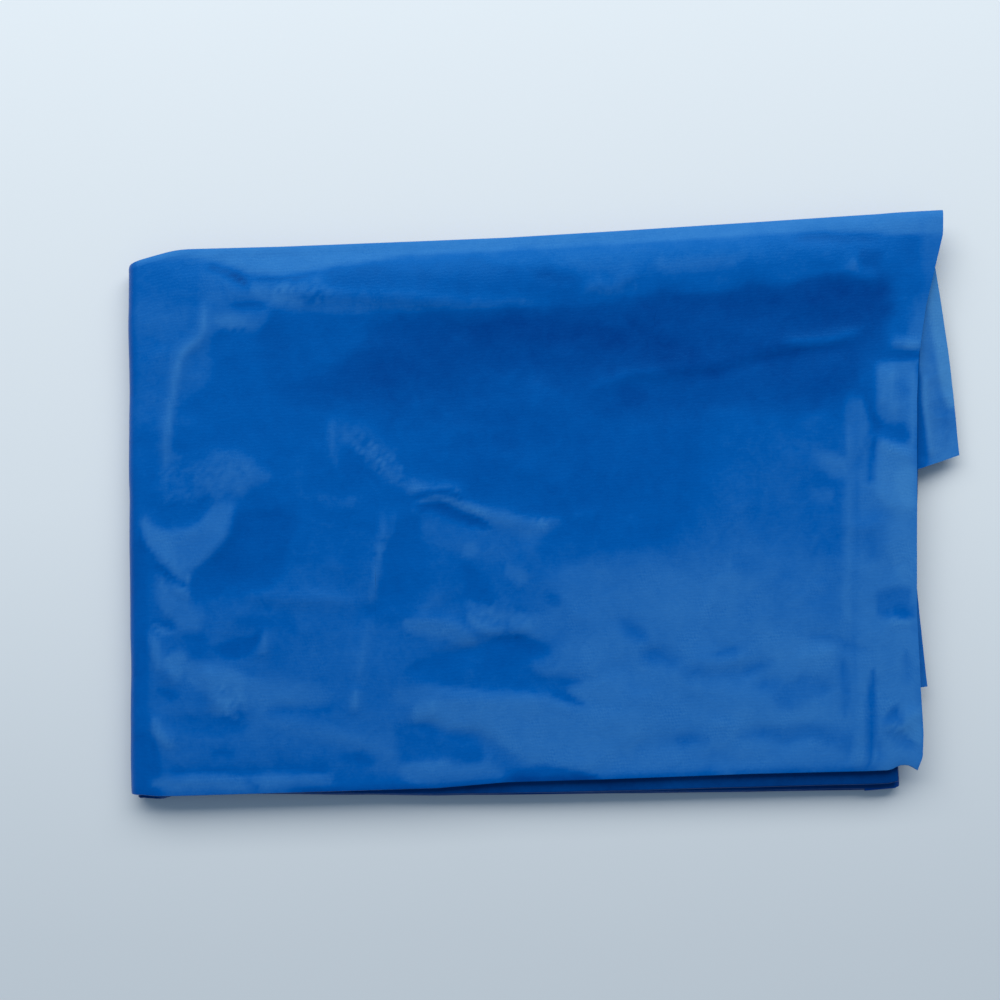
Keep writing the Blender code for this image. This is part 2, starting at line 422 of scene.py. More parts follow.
@dataclass(frozen=True)
class Patch:
    """A patch of film inside a drawn outline, with its own tone.

    A low tone stands for film that clings to the layer below and for painted shade, a high tone for
    film with air under it and for painted highlights where it faces the light. Soft is the mean
    width of the patch's edge, which is crisp in places and vague in others, and lift is its height
    over its surroundings.
    """

    outline: Points
    tone: float
    soft: float = 2.0
    lift: float = 0.0
    blur: float = 0.7
    mean_width: float = 1.15
    width_change: Ripple = Ripple(0.85, 8.0, 91)

    def cover(self, x: Array, y: Array) -> Array:
        """1 well inside the outline and 0 well outside, with a soft step between.

        Args:
            x: first coordinate on the picture plane.
            y: second coordinate on the picture plane.

        Returns:
            The cover at each place.
        """
        curve = smooth_curve(self.outline, closed=True, steps=3)
        near = near_curve(curve, x, y, self.blur + 2.0 * self.soft)
        reading = read_curve(curve, x[near], y[near])
        width = self.blur + self.soft * (self.mean_width + self.width_change.waves(x[near], y[near]))
        cover = np.zeros(x.shape)
        cover[near] = ease(0.5 + np.where(reading.inside, reading.gap, -reading.gap) / width)
        return cover


CREASES: tuple[Crease, ...] = (
    # north-west: the lower rim of the bright fold, a dent in it, and the light ridge that runs east
    Crease(((-131, 91), (-122, 88.5), (-116, 85.5), (-113.5, 82)), -0.35, 0.9, 0.9, -0.24),
    Crease(((-120.5, 88), (-116.5, 86), (-113.8, 83), (-112.8, 80.5)), -0.2, 0.7, 0.8, -0.16),
    Crease(((-114, 86), (-104, 85.6), (-94, 86.8), (-86, 88.5)), -0.3, 0.7, 0.8, -0.2),
    Crease(((-112, 81.5), (-90, 80.5), (-60, 79), (-30, 77), (-6, 77)), 0.55, 4.5, 1.5),
    Crease(((-121, 76.4), (-112, 75.9), (-105, 76)), -0.35, 1.0, 1.0, -0.22),
    Crease(((-5, 87.8), (3, 87.6), (11, 86.2), (12.5, 83.5)), -0.4, 1.0, 1.6, -0.1),
    Crease(((14, 80), (20, 83.5), (27, 82.5), (31, 86), (38, 89)), 0.4, 1.6, 1.1, 0.06),
    Crease(((117, 95), (118.5, 90), (122, 87), (129, 86.5)), 0.45, 1.4, 1.2, 0.14),
    Crease(((92, 101.3), (108, 102), (120, 101.3), (131, 101)), -0.3, 1.0, 1.0, -0.12),
    # west ridge, from the north corner down to the crescent
    Crease(((-130, 79), (-130.3, 69), (-132, 63.5), (-138, 58), (-141, 48), (-143.5, 32), (-144.7, 14)),
           0.7, 1.5, 5.0),
    Crease(((-130, 79), (-130.3, 69), (-132, 63.5), (-138, 58), (-141, 48), (-143.5, 32), (-144.7, 12)),
           0.1, 0.7, 1.3, 0.26, 0.12),
    # the long diagonal ridge at the upper right, and the trough below it
    Crease(((12, 41), (22, 45.5), (34, 50), (48, 51), (62, 53), (82, 58), (96, 61.5), (110, 63), (124, 66)),
           0.45, 4.5, 2.2),
    Crease(((26, 44.5), (38, 47), (50, 49.3), (66, 50.2), (80, 54.8), (100, 58.8), (122, 62)),
           -0.22, 1.6, 4.0),
    Crease(((12, 41), (22, 46), (32, 50), (40, 51), (49, 50.5)), 0.12, 1.3, 1.2, 0.1),
    Crease(((66, 46.5), (76, 50), (85, 53)), 0.15, 1.6, 1.4, 0.06),
    Crease(((90, 62.6), (97, 61.8), (106, 62.4), (114, 64.3), (123, 67.0)), 0.4, 0.9, 0.8, 0.26),
    Crease(((53, 50), (60, 50), (69, 50.6)), -0.15, 1.8, 1.4, -0.05),
    Crease(((74, 54.2), (90, 57), (102, 59.2), (116, 61.3)), -0.15, 1.0, 1.4, -0.06),
    Crease(((132, 61.8), (138, 61.2), (145, 61.2)), 0.5, 1.0, 0.9, 0.26),
    # the knot in the middle, its second line, and the thin lines that leave it
    Crease(((-81.3, 34), (-81.8, 27), (-80.6, 21), (-79, 13), (-75, 6)), 0.35, 1.3, 1.8),
    Crease(((-81.3, 34), (-81.8, 27), (-80.6, 21), (-79, 12)), 0.1, 0.7, 0.7, 0.16),
    Crease(((-77, 27), (-70, 20.5), (-62, 15), (-54, 10), (-46, 7)), 0.2, 3.4, 3.4, 0.03),
    Crease(((-51, 0.6), (-45, 2.8), (-40, 3.6), (-35, 2.6), (-28, -1.0), (-20, -4.2), (-11, -6.2), (0, -8.5),
            (6, -10)), 0.45, 3.4, 1.7),
    Crease(((-51, 0.4), (-45, 2.0), (-40, 2.6), (-35, 1.4), (-28, -1.6), (-21, -4.6)),
           0.15, 0.7, 0.5, 0.26, 0.2),
    Crease(((-54, 5.2), (-47, 5.6), (-40, 6.2), (-34.5, 6.0), (-29.5, 2.4)), 0.4, 0.9, 0.6, 0.24, 0.2),
    Crease(((-51, 3.2), (-44, 4.4), (-37, 4.8), (-33, 3.0), (-29.5, 0.6)), -0.35, 0.6, 0.6, -0.26, 0.2),
    Crease(((-50, -0.4), (-42, 0.6), (-36, -0.9), (-28, -4.6), (-20, -8)), -0.3, 1.2, 2.4),
    Crease(((-50, -0.6), (-48, -3.5)), 0.3, 0.6, 0.6, 0.12),
    Crease(((-3, -6.8), (2, -6.2), (9, -5.4)), 0.3, 0.7, 0.7, 0.14, 0.4),
    Crease(((9, -4.8), (15, -4.2), (21, -4)), 0.2, 0.8, 0.8, 0.11),
    Crease(((-3.2, 47), (-3.0, 41), (-3.4, 35)), 0.35, 1.3, 1.6, 0.07),
    Crease(((-3, 30), (2, 26), (6, 24)), -0.25, 1.5, 1.5, -0.05),
    # folded lines from an earlier fold: one down, one across
    Crease(((-60.8, -1), (-62, -10), (-63, -18), (-64.5, -28), (-66, -36), (-66.8, -43)),
           0.6, 1.2, 1.4, 0.0, 0.3),
    Crease(((-60.8, -1), (-62, -10), (-63, -18), (-64.5, -28), (-66, -36), (-66.8, -41)),
           0.1, 0.8, 0.8, 0.22, 0.3),
    Crease(((-56.6, -1), (-57.8, -7), (-60.4, -15)), 0.3, 0.6, 0.6, 0.12, 0.4),
    Crease(((-66.8, -40), (-68, -50), (-70, -60), (-71.4, -70)), 0.3, 1.1, 1.2, 0.1),
    Crease(((-72, -69), (-72.3, -74), (-72.8, -79)), 0.45, 0.7, 0.8, 0.24),
    Crease(((-118, -32), (-109, -34.6), (-96, -35.5), (-84, -35.5), (-72, -37), (-64, -37)),
           0.45, 1.8, 1.8, 0.07),
    # west end: rims of the crescent and of the leaves below it
    Crease(((-151.5, -20.5), (-145, -26), (-140, -30), (-136, -31.4)), -0.25, 0.8, 1.4, -0.14),
    Crease(((-143, -30.8), (-139, -32), (-135.5, -34.5)), 0.35, 0.7, 0.7, 0.14),
    Crease(((-154.5, -7), (-152, -15), (-146, -22), (-138, -29)), 0.35, 1.8, 1.4),
    Crease(((-119, 1), (-119.2, -6), (-123, -13), (-129, -21)), 0.6, 0.9, 2.2),
    Crease(((-151, -44), (-146, -46), (-141, -47.5)), -0.4, 0.7, 0.9, -0.14),
    Crease(((-151, -49), (-149, -57), (-145, -64), (-140, -67)), 0.45, 1.6, 1.2),
    Crease(((-149, -70), (-145, -71.5), (-140, -74)), -0.45, 0.9, 1.2, -0.18),
    Crease(((-150, -80), (-147.5, -87), (-141, -92)), 0.55, 2.0, 1.2, 0.06),
    Crease(((-107.6, -48), (-107.2, -53), (-107.8, -58)), 0.5, 0.9, 0.9, 0.16),
    Crease(((-125, -51), (-116, -50), (-109, -46.5)), -0.35, 1.8, 2.5),
    Crease(((-129, -61), (-127.5, -71), (-124, -79)), 0.5, 1.6, 1.0),
    Crease(((-108, -78.2), (-98, -77.6), (-88, -77.8), (-79, -78.2)), -0.3, 0.9, 0.9, -0.13),
    Crease(((-129, -95.2), (-124, -94.6), (-117, -95.4)), -0.3, 0.9, 0.9, -0.12),
    Crease(((-74, -93), (-70, -96), (-66, -99)), -0.35, 2.0, 2.0, -0.06),
    # lower middle: the smile, and the rims of the two darker patches
    Crease(((-30, -37), (-27.5, -43), (-24, -46.6), (-18, -48.5), (-11, -48.8), (-8, -45.5), (-7.6, -42)),
           0.22, 2.2, 1.6, 0.0, 0.15),
    Crease(((-29, -40), (-26.5, -44.4), (-22, -47.6), (-16, -48.4), (-10.5, -48.6)), 0.08, 0.9, 0.6, 0.08),
    Crease(((-53, -44), (-42, -43.5), (-34, -46), (-28, -50.5), (-26, -54)), 0.45, 1.2, 2.4),
    Crease(((-46, -57.5), (-34, -55), (-20, -51.5), (-8, -50.3), (2, -54.5)), -0.45, 1.0, 3.5),
    Crease(((-50, -70), (-30, -73.5), (-8, -72.6), (3, -73.6), (14, -77.2), (22, -79)), 0.35, 1.6, 4.0),
    Crease(((1, -72), (8, -74), (14, -76.6), (19, -78.4)), -0.35, 0.8, 1.0, -0.08),
    Crease(((-42.3, -74.5), (-42.5, -80.5)), 0.35, 0.6, 0.6, 0.12),
    Crease(((-56, -83.5), (-44, -83), (-34, -86.2), (-23, -88), (-21.5, -95), (-25, -100)), -0.55, 1.6, 3.0),
    Crease(((-109, -80), (-92, -84), (-76, -88.8), (-61, -93)), 0.22, 2.4, 2.6),
    # lower right: short arcs
    Crease(((24, -41.5), (30, -44), (36, -46.2), (40, -52)), -0.33, 1.4, 2.7, -0.04),
    Crease(((37, -56), (45, -56.5), (52, -60.5)), -0.36, 1.6, 2.9, -0.03),
    Crease(((52, -63), (62, -64.8), (72, -64.3), (80, -61.5), (87, -61)), -0.36, 1.8, 2.9, -0.03),
    Crease(((64, -57.2), (69, -55), (75, -54.6)), -0.27, 1.2, 1.7, -0.07),
    Crease(((55, -59), (66, -60), (80, -57.5)), 0.3, 2.6, 2.3, 0.01),
    Crease(((80, -68), (88, -67.5), (92, -71), (96, -76)), -0.3, 2.0, 2.5, -0.03),
    Crease(((96, -66), (104, -66), (110, -69.5), (103, -73.5)), -0.21, 2.0, 2.1, -0.03),
    Crease(((74, -87.3), (84, -85.8), (89, -88), (93, -90.8), (101, -88.3), (110, -89.5), (118, -93)),
           -0.36, 1.6, 2.7, -0.04),
    Crease(((32, -95.5), (40, -91.8), (48, -89.8), (56, -88.6), (63, -90)), -0.33, 1.8, 2.7, -0.05),
    Crease(((62, -94.6), (68, -95), (72, -98.3)), -0.21, 1.4, 1.7, -0.06),
    Crease(((8, -66.5), (14, -66.5), (24, -62.3), (36, -62.4)), -0.21, 1.6, 2.1, -0.04),
    Crease(((27, -83), (26, -88), (32, -93)), -0.15, 2.0, 2.1, -0.01),
    Crease(((70, -2), (76, -9), (84, -14)), 0.21, 2.4, 2.9, 0.03),
    Crease(((97, -30), (101, -33), (105, -38.5)), -0.21, 1.6, 2.1, -0.04),
    # hem: weld line, facets and folds of the free edge
    Crease(((119.2, 60), (119, 30), (119.2, 0), (119, -50), (119.4, -96)), -0.22, 0.9, 0.9, -0.07, 0.08),
    Crease(((116.4, 30), (116.2, 0), (116.4, -48)), 0.3, 2.2, 1.4, 0.05, 0.12),
    Crease(((99, -50), (107, -50), (112, -51.6), (117, -53.6), (127, -55.8)), -0.45, 0.8, 1.2, -0.13),
    Crease(((114, -57), (114.4, -65), (115.6, -71), (114.5, -81)), -0.3, 1.0, 1.0, -0.09),
    Crease(((125.6, -63), (125, -72), (126, -80), (125.4, -89), (124.8, -98)), -0.45, 1.3, 1.2, -0.05, 0.2),
    Crease(((128.8, -88), (128.6, -100)), -0.4, 0.8, 0.8, -0.14),
    Crease(((142, -44.2), (136, -44.6), (130.5, -43.6)), 0.35, 0.9, 0.8, 0.16),
    Crease(((128.4, -42), (134, -42.8), (142, -42.6)), -0.25, 0.9, 0.5, -0.12),
    Crease(((137.6, -32), (138.4, -37), (141.6, -42.5)), 0.25, 1.0, 1.8, 0.04),
    Crease(((130, -84.3), (134, -84.2), (138, -85)), 0.5, 0.8, 0.8, 0.16),
    Crease(((137, -84), (140, -80.5), (143.5, -79)), 0.5, 1.2, 1.6),
    Crease(((131, -85.4), (137, -86.5), (142.5, -91)), -0.45, 1.2, 1.4, -0.06),
    Crease(((128.6, 54), (129, 45), (128.8, 37)), 0.3, 0.8, 0.8, 0.12),
    Crease(((132.6, 54), (133.2, 45), (133.8, 36.5), (136, 34.8)), 0.45, 1.1, 1.1, 0.16),
    Crease(((141.8, 53), (141.8, 36), (141.6, 20)), 0.35, 0.9, 0.9, 0.14),
    Crease(((124.6, 28), (128, 25), (132, 22.2), (137, 20), (143, 16.4)), 0.6, 1.0, 1.2, 0.16),
    Crease(((121, 49), (124, 38.5), (127.3, 30), (126, 21), (125.4, 11)), -0.55, 1.2, 1.2, -0.12),
    # long edge at the south-west
    Crease(((-147, -101.4), (-120, -101.6), (-98, -101.5), (-80, -101)), -0.45, 1.0, 1.0, -0.16, 0.1),
    Crease(((-147, -104.6), (-120, -104.8), (-98, -104.8), (-80, -104.6)), 0.4, 1.4, 1.6, 0.0, 0.1),
    Crease(((-115, -103.5), (-112, -106), (-108, -108)), -0.3, 0.8, 0.8, -0.16),
    # the top sheet's rounded south edge: no height, only painted shade
    Crease(((-104, -109.2), (-64, -108.8), (-38, -107.4), (-14, -105.4), (24, -104.2), (78, -102)),
           0.0, 1.5, 1.5, -0.3, 0.1),
    Crease(((70, -102.2), (111, -101.4), (131, -100.8)), 0.0, 1.4, 1.4, -0.25, 0.1),
)

PATCHES: tuple[Patch, ...] = (
    # broad washes: west strip, centre, right, lower right
    Patch(((-166, 104), (-131, 100), (-130, 64), (-141, 47), (-143.5, 20), (-166, 20)), 0.54, 5.0),
    Patch(((-166, 28), (-144, 26), (-146, 4), (-153, -6), (-166, -8)), 0.47, 8.0),
    Patch(((-160, 98), (-138, 96), (-135, 84), (-137, 68), (-160, 66)), 0.61, 7.0),
    Patch(((-34, 42), (60, 42), (72, 4), (46, -16), (0, -12), (-34, 8)), 0.4, 28.0),
    Patch(((66, 24), (90, 34), (118, 44), (120, 10), (120, -26), (90, -30), (60, -30), (62, 0)), 0.53, 32.0),
    Patch(((4, -26), (60, -18), (118, -24), (146, -16), (146, -106), (-40, -106), (-36, -74), (6, -60)),
          0.645, 26.0),
    Patch(((-60, -8), (-49, -5), (-45, -20), (-48, -40), (-60, -46), (-66, -38), (-63.5, -24)), 0.4, 8.0),
    Patch(((-110, 74), (-98, 74), (-97, 52), (-94, 40), (-104, 42), (-108, 58)), 0.39, 6.0),
    # the paler top of the swell, a painted highlight, and the valley along its south side, darkened with
    # painted shade
    Patch(((-134, 108), (152, 120), (153, 86), (134, 87), (121, 86.5), (112, 88.5), (100, 86), (91, 83.5),
           (78, 83.5), (70, 81), (52, 80.5), (44, 82), (40, 79.5), (30, 80), (27, 77), (0, 76), (-20, 74.5),
           (-50, 73), (-92, 72.5), (-106, 75), (-130, 77)), 0.61, 2.6),
    Patch(((-85, 90), (-50, 92), (-12, 92), (12, 88), (12, 80), (-10, 78.5), (-50, 81), (-85, 83)),
          0.53, 4.0),
    Patch(((-97, 44), (-87, 50), (-78, 56), (-72, 62), (-66, 68), (-60, 72), (-50, 73.5), (-30, 74), (0, 76),
           (28, 76.5), (44, 81), (60, 80.5), (78, 82.5), (92, 83), (106, 87), (120, 86), (132, 86), (136, 74),
           (131, 66), (128, 58), (120, 47), (113, 39), (98, 35), (85, 35), (70, 37), (50, 34), (40, 33),
           (28, 34), (15, 38), (4, 42), (-12, 45), (-22, 40), (-31, 34), (-45, 33), (-60, 35), (-75, 38),
           (-90, 38)), 0.315, 11.0, -0.15),
    Patch(((-80, 46), (-66, 58), (-58, 68), (-30, 71), (0, 73), (28, 73.5), (44, 77), (80, 79), (108, 83),
           (130, 82), (130, 72), (124, 62), (114, 50), (100, 44), (84, 45), (66, 48), (44, 50), (20, 48.5),
           (-4, 51), (-26, 50.5), (-50, 47), (-66, 44)), 0.25, 11.0),
    Patch(((-31, 66), (-28, 69), (-15, 71), (0, 71.5), (10, 71), (22, 69), (31, 67.5), (33, 73), (36, 70),
           (41, 66), (50, 62), (57, 60), (57, 55), (50, 53.5), (42, 56), (35, 58.5), (24, 60), (14, 62),
           (4, 61.5), (-10, 62.5), (-25, 63)), 0.165, 7.0, -0.1),
    Patch(((103, 73), (112, 75), (117, 77), (124, 76), (129, 78), (131, 72), (124, 69), (117, 67), (108, 66),
           (103, 69)), 0.2, 8.0, -0.1),
    Patch(((-98, 72), (-84, 72.5), (-70, 71), (-72, 64), (-80, 56), (-88, 50.5), (-94, 50), (-97, 56),
           (-99, 66)), 0.43, 5.0),
    Patch(((-30, 37), (-20, 45), (-12, 49), (-3, 47), (0, 38), (-4, 30), (-24, 30)), 0.36, 6.0),
    Patch(((98, 56), (112, 57), (118, 50), (113, 43), (104, 44), (96, 50)), 0.27, 5.0),
    Patch(((29, 45), (38, 45), (37, 38), (29, 38)), 0.26, 3.0),
    Patch(((18, 41), (25, 40), (24, 35), (18, 35)), 0.31, 3.0),
    # north-west: bright facets, painted highlights
    Patch(((-131, 90), (-124, 88.5), (-117, 84.5), (-112, 86), (-100, 86), (-86, 87), (-86, 78), (-95, 75),
           (-105, 76), (-112, 77.5), (-121, 77.2), (-130, 78)), 0.68, 3.6, 0.2),
    Patch(((-112, 84.6), (-100, 84), (-88, 82.6), (-74, 81.2), (-74, 77), (-90, 76.4), (-104, 77),
           (-111.5, 78.5)), 0.8, 3.6),
    Patch(((-90, 82.5), (-66, 81.4), (-44, 80.2), (-44, 74.6), (-60, 74.6), (-90, 74.6)), 0.63, 3.2, 0.15),
    Patch(((-50, 80), (-30, 79), (-14, 78.4), (-4, 78), (-5, 76), (-20, 75), (-50, 74.6)), 0.6, 2.0, 0.1),
    Patch(((-130, 77), (-121, 75.4), (-105, 75), (-106, 69), (-111, 65.4), (-119, 67), (-124, 67),
           (-129.6, 64.6)), 0.62, 3.0, 0.25),
    Patch(((-126, 71.6), (-120, 72.6), (-115, 71), (-117, 68.6), (-124, 68.4)), 0.78, 3.0),
    Patch(((-139.4, 57), (-132, 63.6), (-128, 64), (-128, 48), (-135, 42), (-141.4, 44)), 0.58, 5.0, 0.1),
    Patch(((43, 94), (52, 94.5), (74, 95.5), (74, 91.5), (52, 89.5), (43, 90)), 0.72),
    Patch(((4, 98), (36, 99), (36, 91), (16, 90), (4, 92)), 0.66, 3.5),
    Patch(((120, 96.4), (128, 97), (128, 91.5), (121, 91)), 0.45, 2.4),
    Patch(((134, 100), (152, 104), (151, 84), (149, 74), (140, 72), (134.5, 78)), 0.56, 5.0),
    Patch(((143, 106), (152, 110), (151, 88), (146, 84)), 0.68, 4.0),
    Patch(((134, 72), (148, 74), (148, 62), (132, 62)), 0.5, 4.0),
    Patch(((147.5, 84), (143.5, 78), (140.5, 70), (138, 62), (138.5, 57), (146, 56), (150, 70)), 0.64, 2.6),
    # round the middle knot
    Patch(((-82, 33.5), (-74, 33), (-64, 28.5), (-56, 21), (-58, 17.5), (-64, 20), (-72, 22), (-80, 24)),
          0.53, 3.6),
    Patch(((-79, 20), (-72, 20.5), (-66, 15.5), (-62, 10), (-69, 8.5), (-77, 12)), 0.43, 4.0, -0.05),
    Patch(((-86, 4.5), (-78, 3), (-72, 3.5), (-72, 0), (-80, -1.5), (-86, 1)), 0.52, 2.4),
    Patch(((-76, 28), (-66, 24), (-58, 18), (-52, 13.5), (-47, 10), (-45, 7.4), (-48, 5.6), (-54, 6.4),
           (-60, 10.5), (-68, 17)), 0.6, 4.0),
    Patch(((-46, -6), (-30, -8), (-16, -8), (-4, -12), (-2, -20), (-14, -22), (-30, -20), (-44, -15)),
          0.53, 4.0),
    Patch(((-42, 3.2), (-36, 3.6), (-30, 1.4), (-24, -0.4), (-16, -2.0), (-8, -4.2), (1, -5.4), (5, -7.8),
           (1, -11.5), (-7, -14), (-13, -10), (-19, -7.6), (-24, -5.6), (-31, -2), (-36, 1.2)),
          0.61, 4.6, 0.1),
    Patch(((-26, -1.6), (-17, -2.6), (-9, -5), (-7, -8.6), (-15, -7.8), (-24, -5)), 0.67, 2.8),
    Patch(((-49.5, 0.0), (-42, 1.0), (-38, 0.8), (-33, -2), (-25, -5), (-20, -7.8), (-26, -9), (-34, -6),
           (-42, -3), (-48, -2.2)), 0.3, 1.3, -0.2),
    Patch(((-30.5, -15.5), (-26, -15), (-26, -19), (-30, -19.5)), 0.66, 1.8),
    Patch(((-30, -22), (-24, -26), (-21, -32), (-22, -37), (-28, -37.6), (-31, -31)), 0.36, 3.0, -0.15),
    Patch(((-14, -22), (-8, -25), (-6, -29), (-11, -29), (-15, -25)), 0.62, 1.8),
    Patch(((0, -33), (5, -33.5), (6, -37), (2, -37.5)), 0.43, 1.8),
    Patch(((12, 16), (30, 12), (30, -2), (14, -2)), 0.385, 5.0),
    Patch(((22, -6), (40, -4), (38, -16), (22, -16)), 0.43, 5.0),
    Patch(((-19, 28), (-11, 28), (-11, 22), (-18, 21)), 0.34),
    # west: crescent, a painted reflection, disc, sparkling corner and leaves
    Patch(((-146, 18), (-132, 18), (-128, 6), (-134, 0), (-147, 2)), 0.55, 4.0),
    Patch(((-132, 12), (-127, 20.5), (-118, 20.5), (-109, 16), (-103.6, 10.6), (-112, 7), (-115.5, 3.6),
           (-120, 4), (-127, 2)), 0.63, 4.0, 0.3),
    Patch(((-152, -1), (-148, 1.4), (-137, 0.6), (-129, 4), (-126, 0), (-130, -5.5), (-137, -9), (-146, -10),
           (-152, -7)), 0.45, 3.4, -0.25),
    Patch(((-154.6, -5.4), (-150, -8), (-146, -9.8), (-139, -9.4), (-134, -7.4), (-129, -3), (-126, 0.6),
           (-119.6, 1), (-118.8, -5), (-120.6, -10), (-124.4, -14.6), (-129, -21), (-135, -24), (-135.6, -29),
           (-138, -29), (-143, -25), (-148, -20.4), (-153, -13)), 0.66, 2.4, 0.25),
    Patch(((-154, -6.4), (-150, -9.5), (-145, -12), (-141, -22), (-141, -26.6), (-148, -19.5), (-153, -12)),
          0.76, 3.0),
    Patch(((-118.6, -3), (-108, -2), (-95, -3), (-97, -14), (-99, -24), (-106, -32), (-122, -34), (-134, -36),
           (-135, -29), (-130, -21.4), (-121, -11.6)), 0.355, 4.0, -0.25),
    Patch(((-122, -18), (-116, -18), (-112, -24), (-116, -29), (-125, -26), (-126, -21)), 0.31, 4.0),
    Patch(((-148, -27), (-145, -28), (-140, -31), (-136, -34), (-135.4, -38), (-131.6, -42), (-132, -47),
           (-138, -48), (-142, -44), (-146.4, -40), (-148, -34)), 0.6, 2.4, 0.2),
    Patch(((-150, -45.6), (-145, -46.4), (-141, -48.6), (-146, -49.4)), 0.66, 1.2),
    Patch(((-152, -50), (-148, -51), (-146, -56), (-146.4, -63), (-150, -58.6)), 0.65, 2.4, 0.15),
    Patch(((-144.6, -58), (-139.6, -56), (-135.6, -57), (-137.6, -62), (-140.4, -66.4), (-144, -63)),
          0.67, 2.6, 0.15),
    Patch(((-137, -59), (-129, -60), (-127, -70), (-133, -70), (-138, -64)), 0.6, 2.4),
    Patch(((-130, -61), (-124, -62), (-117, -64), (-113, -68), (-113, -74), (-118, -79), (-125, -78.6),
           (-128.6, -70)), 0.66, 4.5, 0.2),
    Patch(((-114, -66), (-98, -66), (-84, -70), (-84, -75.6), (-95, -77), (-113, -76.6)), 0.6, 4.5),
    Patch(((-147, -80), (-138, -79.6), (-126, -80), (-112, -81), (-114, -86), (-128, -88.6), (-137, -87.4),
           (-143, -83.6)), 0.38, 2.4, -0.2),
    Patch(((-149.6, -81), (-147, -83), (-144, -88), (-140, -92), (-145, -91.5), (-149, -87)), 0.61, 1.8),
    Patch(((-125.6, -53.6), (-118, -50.6), (-112, -50), (-108.8, -46.6), (-108.2, -50.6), (-112, -55.4),
           (-118, -59), (-124.4, -57)), 0.3, 1.8, -0.25),
    Patch(((-137, -49), (-126, -51), (-127, -58), (-136, -58)), 0.38, 3.0),
    Patch(((-106, -52), (-98, -53), (-98, -62), (-106, -62)), 0.41, 3.0),
    Patch(((-118, -42), (-98, -42.6), (-98, -46.6), (-116, -46)), 0.4, 3.0),
    Patch(((-109, -79.6), (-92, -82), (-76, -86.6), (-60, -91), (-61, -95), (-76, -92), (-92, -87),
           (-108, -83.6)), 0.545, 5.5),
    Patch(((-131, -91), (-104, -92), (-80, -94), (-66, -96), (-68, -100), (-100, -99.6), (-130, -99)),
          0.42, 3.0),
    Patch(((-77, -94.6), (-70, -94.6), (-65, -97), (-68, -99.6), (-76, -98.6)), 0.35),
    Patch(((-157.4, -16), (-152.6, -18), (-151.6, -45), (-151, -78), (-148, -96), (-147, -113),
           (-157.4, -113)), 0.34, 2.6),
    Patch(((-157.4, -88), (-149.6, -90), (-146.4, -99), (-147.6, -113), (-157.4, -113)), 0.27, 3.0),
    Patch(((-148, -104), (-128, -103.2), (-113, -103.4), (-112, -106), (-118, -108.6), (-146, -108)),
          0.62, 3.4),
    Patch(((-116, -103.4), (-98, -103), (-81.6, -103), (-81.6, -107.4), (-96, -107.6), (-112, -107.6)),
          0.63, 3.4),
    Patch(((-78, -101), (-56, -102.6), (-50, -106), (-78, -107)), 0.4, 2.4),
    # lower middle: the smile, the two darker patches and the pale stretch between them
    Patch(((-53, -43.6), (-40, -43), (-33, -45), (-28, -49), (-25.4, -53.4), (-30, -54), (-37, -50),
           (-51, -49)), 0.62, 2.0, 0.1),
    Patch(((-30, -37), (-22, -38.6), (-9, -41), (8, -40), (9, -44), (2, -50), (-8, -50), (-14, -46),
           (-22, -45)), 0.6, 3.0),
    Patch(((-28.6, -41), (-24, -45), (-18, -47), (-11, -47.4), (-8.4, -44.6), (-7, -46), (-10, -49.4),
           (-19, -49.4), (-25.4, -47.6), (-29, -44)), 0.65, 2.4, 0.05),
    Patch(((-50, -60), (-44, -57), (-36, -55.2), (-30, -54), (-22, -52.2), (-18, -50.6), (-12, -49.8),
           (-5, -50.6), (1, -53), (2.6, -56), (-2, -58.6), (-5, -60), (-1, -64), (6, -64.6), (14, -67),
           (9, -70), (11, -73.4), (15, -76.8), (8, -75.4), (2, -72.8), (-5, -72.2), (-15, -71.4), (-30, -72),
           (-45, -68), (-53, -64)), 0.37, 2.8, -0.35),
    Patch(((-44, -58.6), (-34, -56), (-20, -53.4), (-12, -50.6), (-4, -51.6), (1, -54.6), (-6, -59.4),
           (-20, -62.6), (-40, -62.4)), 0.33, 3.4, -0.1),
    Patch(((-16, -51), (-8, -51), (-4, -55), (-8, -58), (-14, -57)), 0.3, 2.6),
    Patch(((-56, -70), (-38, -69), (-18, -73), (-20, -75), (-40, -74.6), (-56, -76)), 0.56, 2.4),
    Patch(((-50, -76), (-40, -74.4), (-20, -74.6), (-5, -73), (2, -74.2), (10, -77), (20, -80), (36, -78.4),
           (38, -86), (30, -93), (18, -100), (8, -99.4), (0, -98), (-12, -94), (-20, -88.4), (-34, -86),
           (-42, -83.6), (-50, -83)), 0.66, 2.0, 0.2),
    Patch(((-57, -84), (-45, -83), (-38, -86), (-28, -86.6), (-24, -88), (-21.6, -92), (-22, -97),
           (-26, -99.6), (-34, -99), (-38, -97), (-46, -98), (-56, -97)), 0.36, 3.0, -0.25),
    Patch(((-22, -89), (-16, -92), (-9, -98), (-9, -104), (-16, -104.5), (-21, -98)), 0.44, 3.0),
    Patch(((-55, -100), (-40, -98), (-34, -100.4), (-22, -100), (-15, -104), (-30, -106), (-50, -107)),
          0.62, 1.8),
    Patch(((-10, -101), (0, -99.4), (10, -100.4), (20, -104), (6, -106), (-11, -106)), 0.35, 1.8),
    # lower right: the palest stretch, painted sheen, and the marks in it
    Patch(((28, -32), (36, -28), (48, -26), (70, -27), (84, -34), (82, -42), (60, -48), (42, -44), (30, -40)),
          0.68, 11.9),
    Patch(((81, -46), (90, -46), (100, -51.5), (111, -54), (109, -62), (96, -64.6), (88, -59), (83, -53)),
          0.72, 5.1),
    Patch(((74, -78), (112, -78), (113, -83.4), (92, -83.6), (76, -85.4)), 0.7, 4.1),
    Patch(((30, -44), (35, -45), (40, -51.4), (36, -52.4), (31, -50)), 0.495, 4.0, -0.14),
    Patch(((37.4, -56), (46, -55.4), (52.4, -59), (50, -62.4), (42, -61), (38, -58.6)), 0.465, 4.4, -0.17),
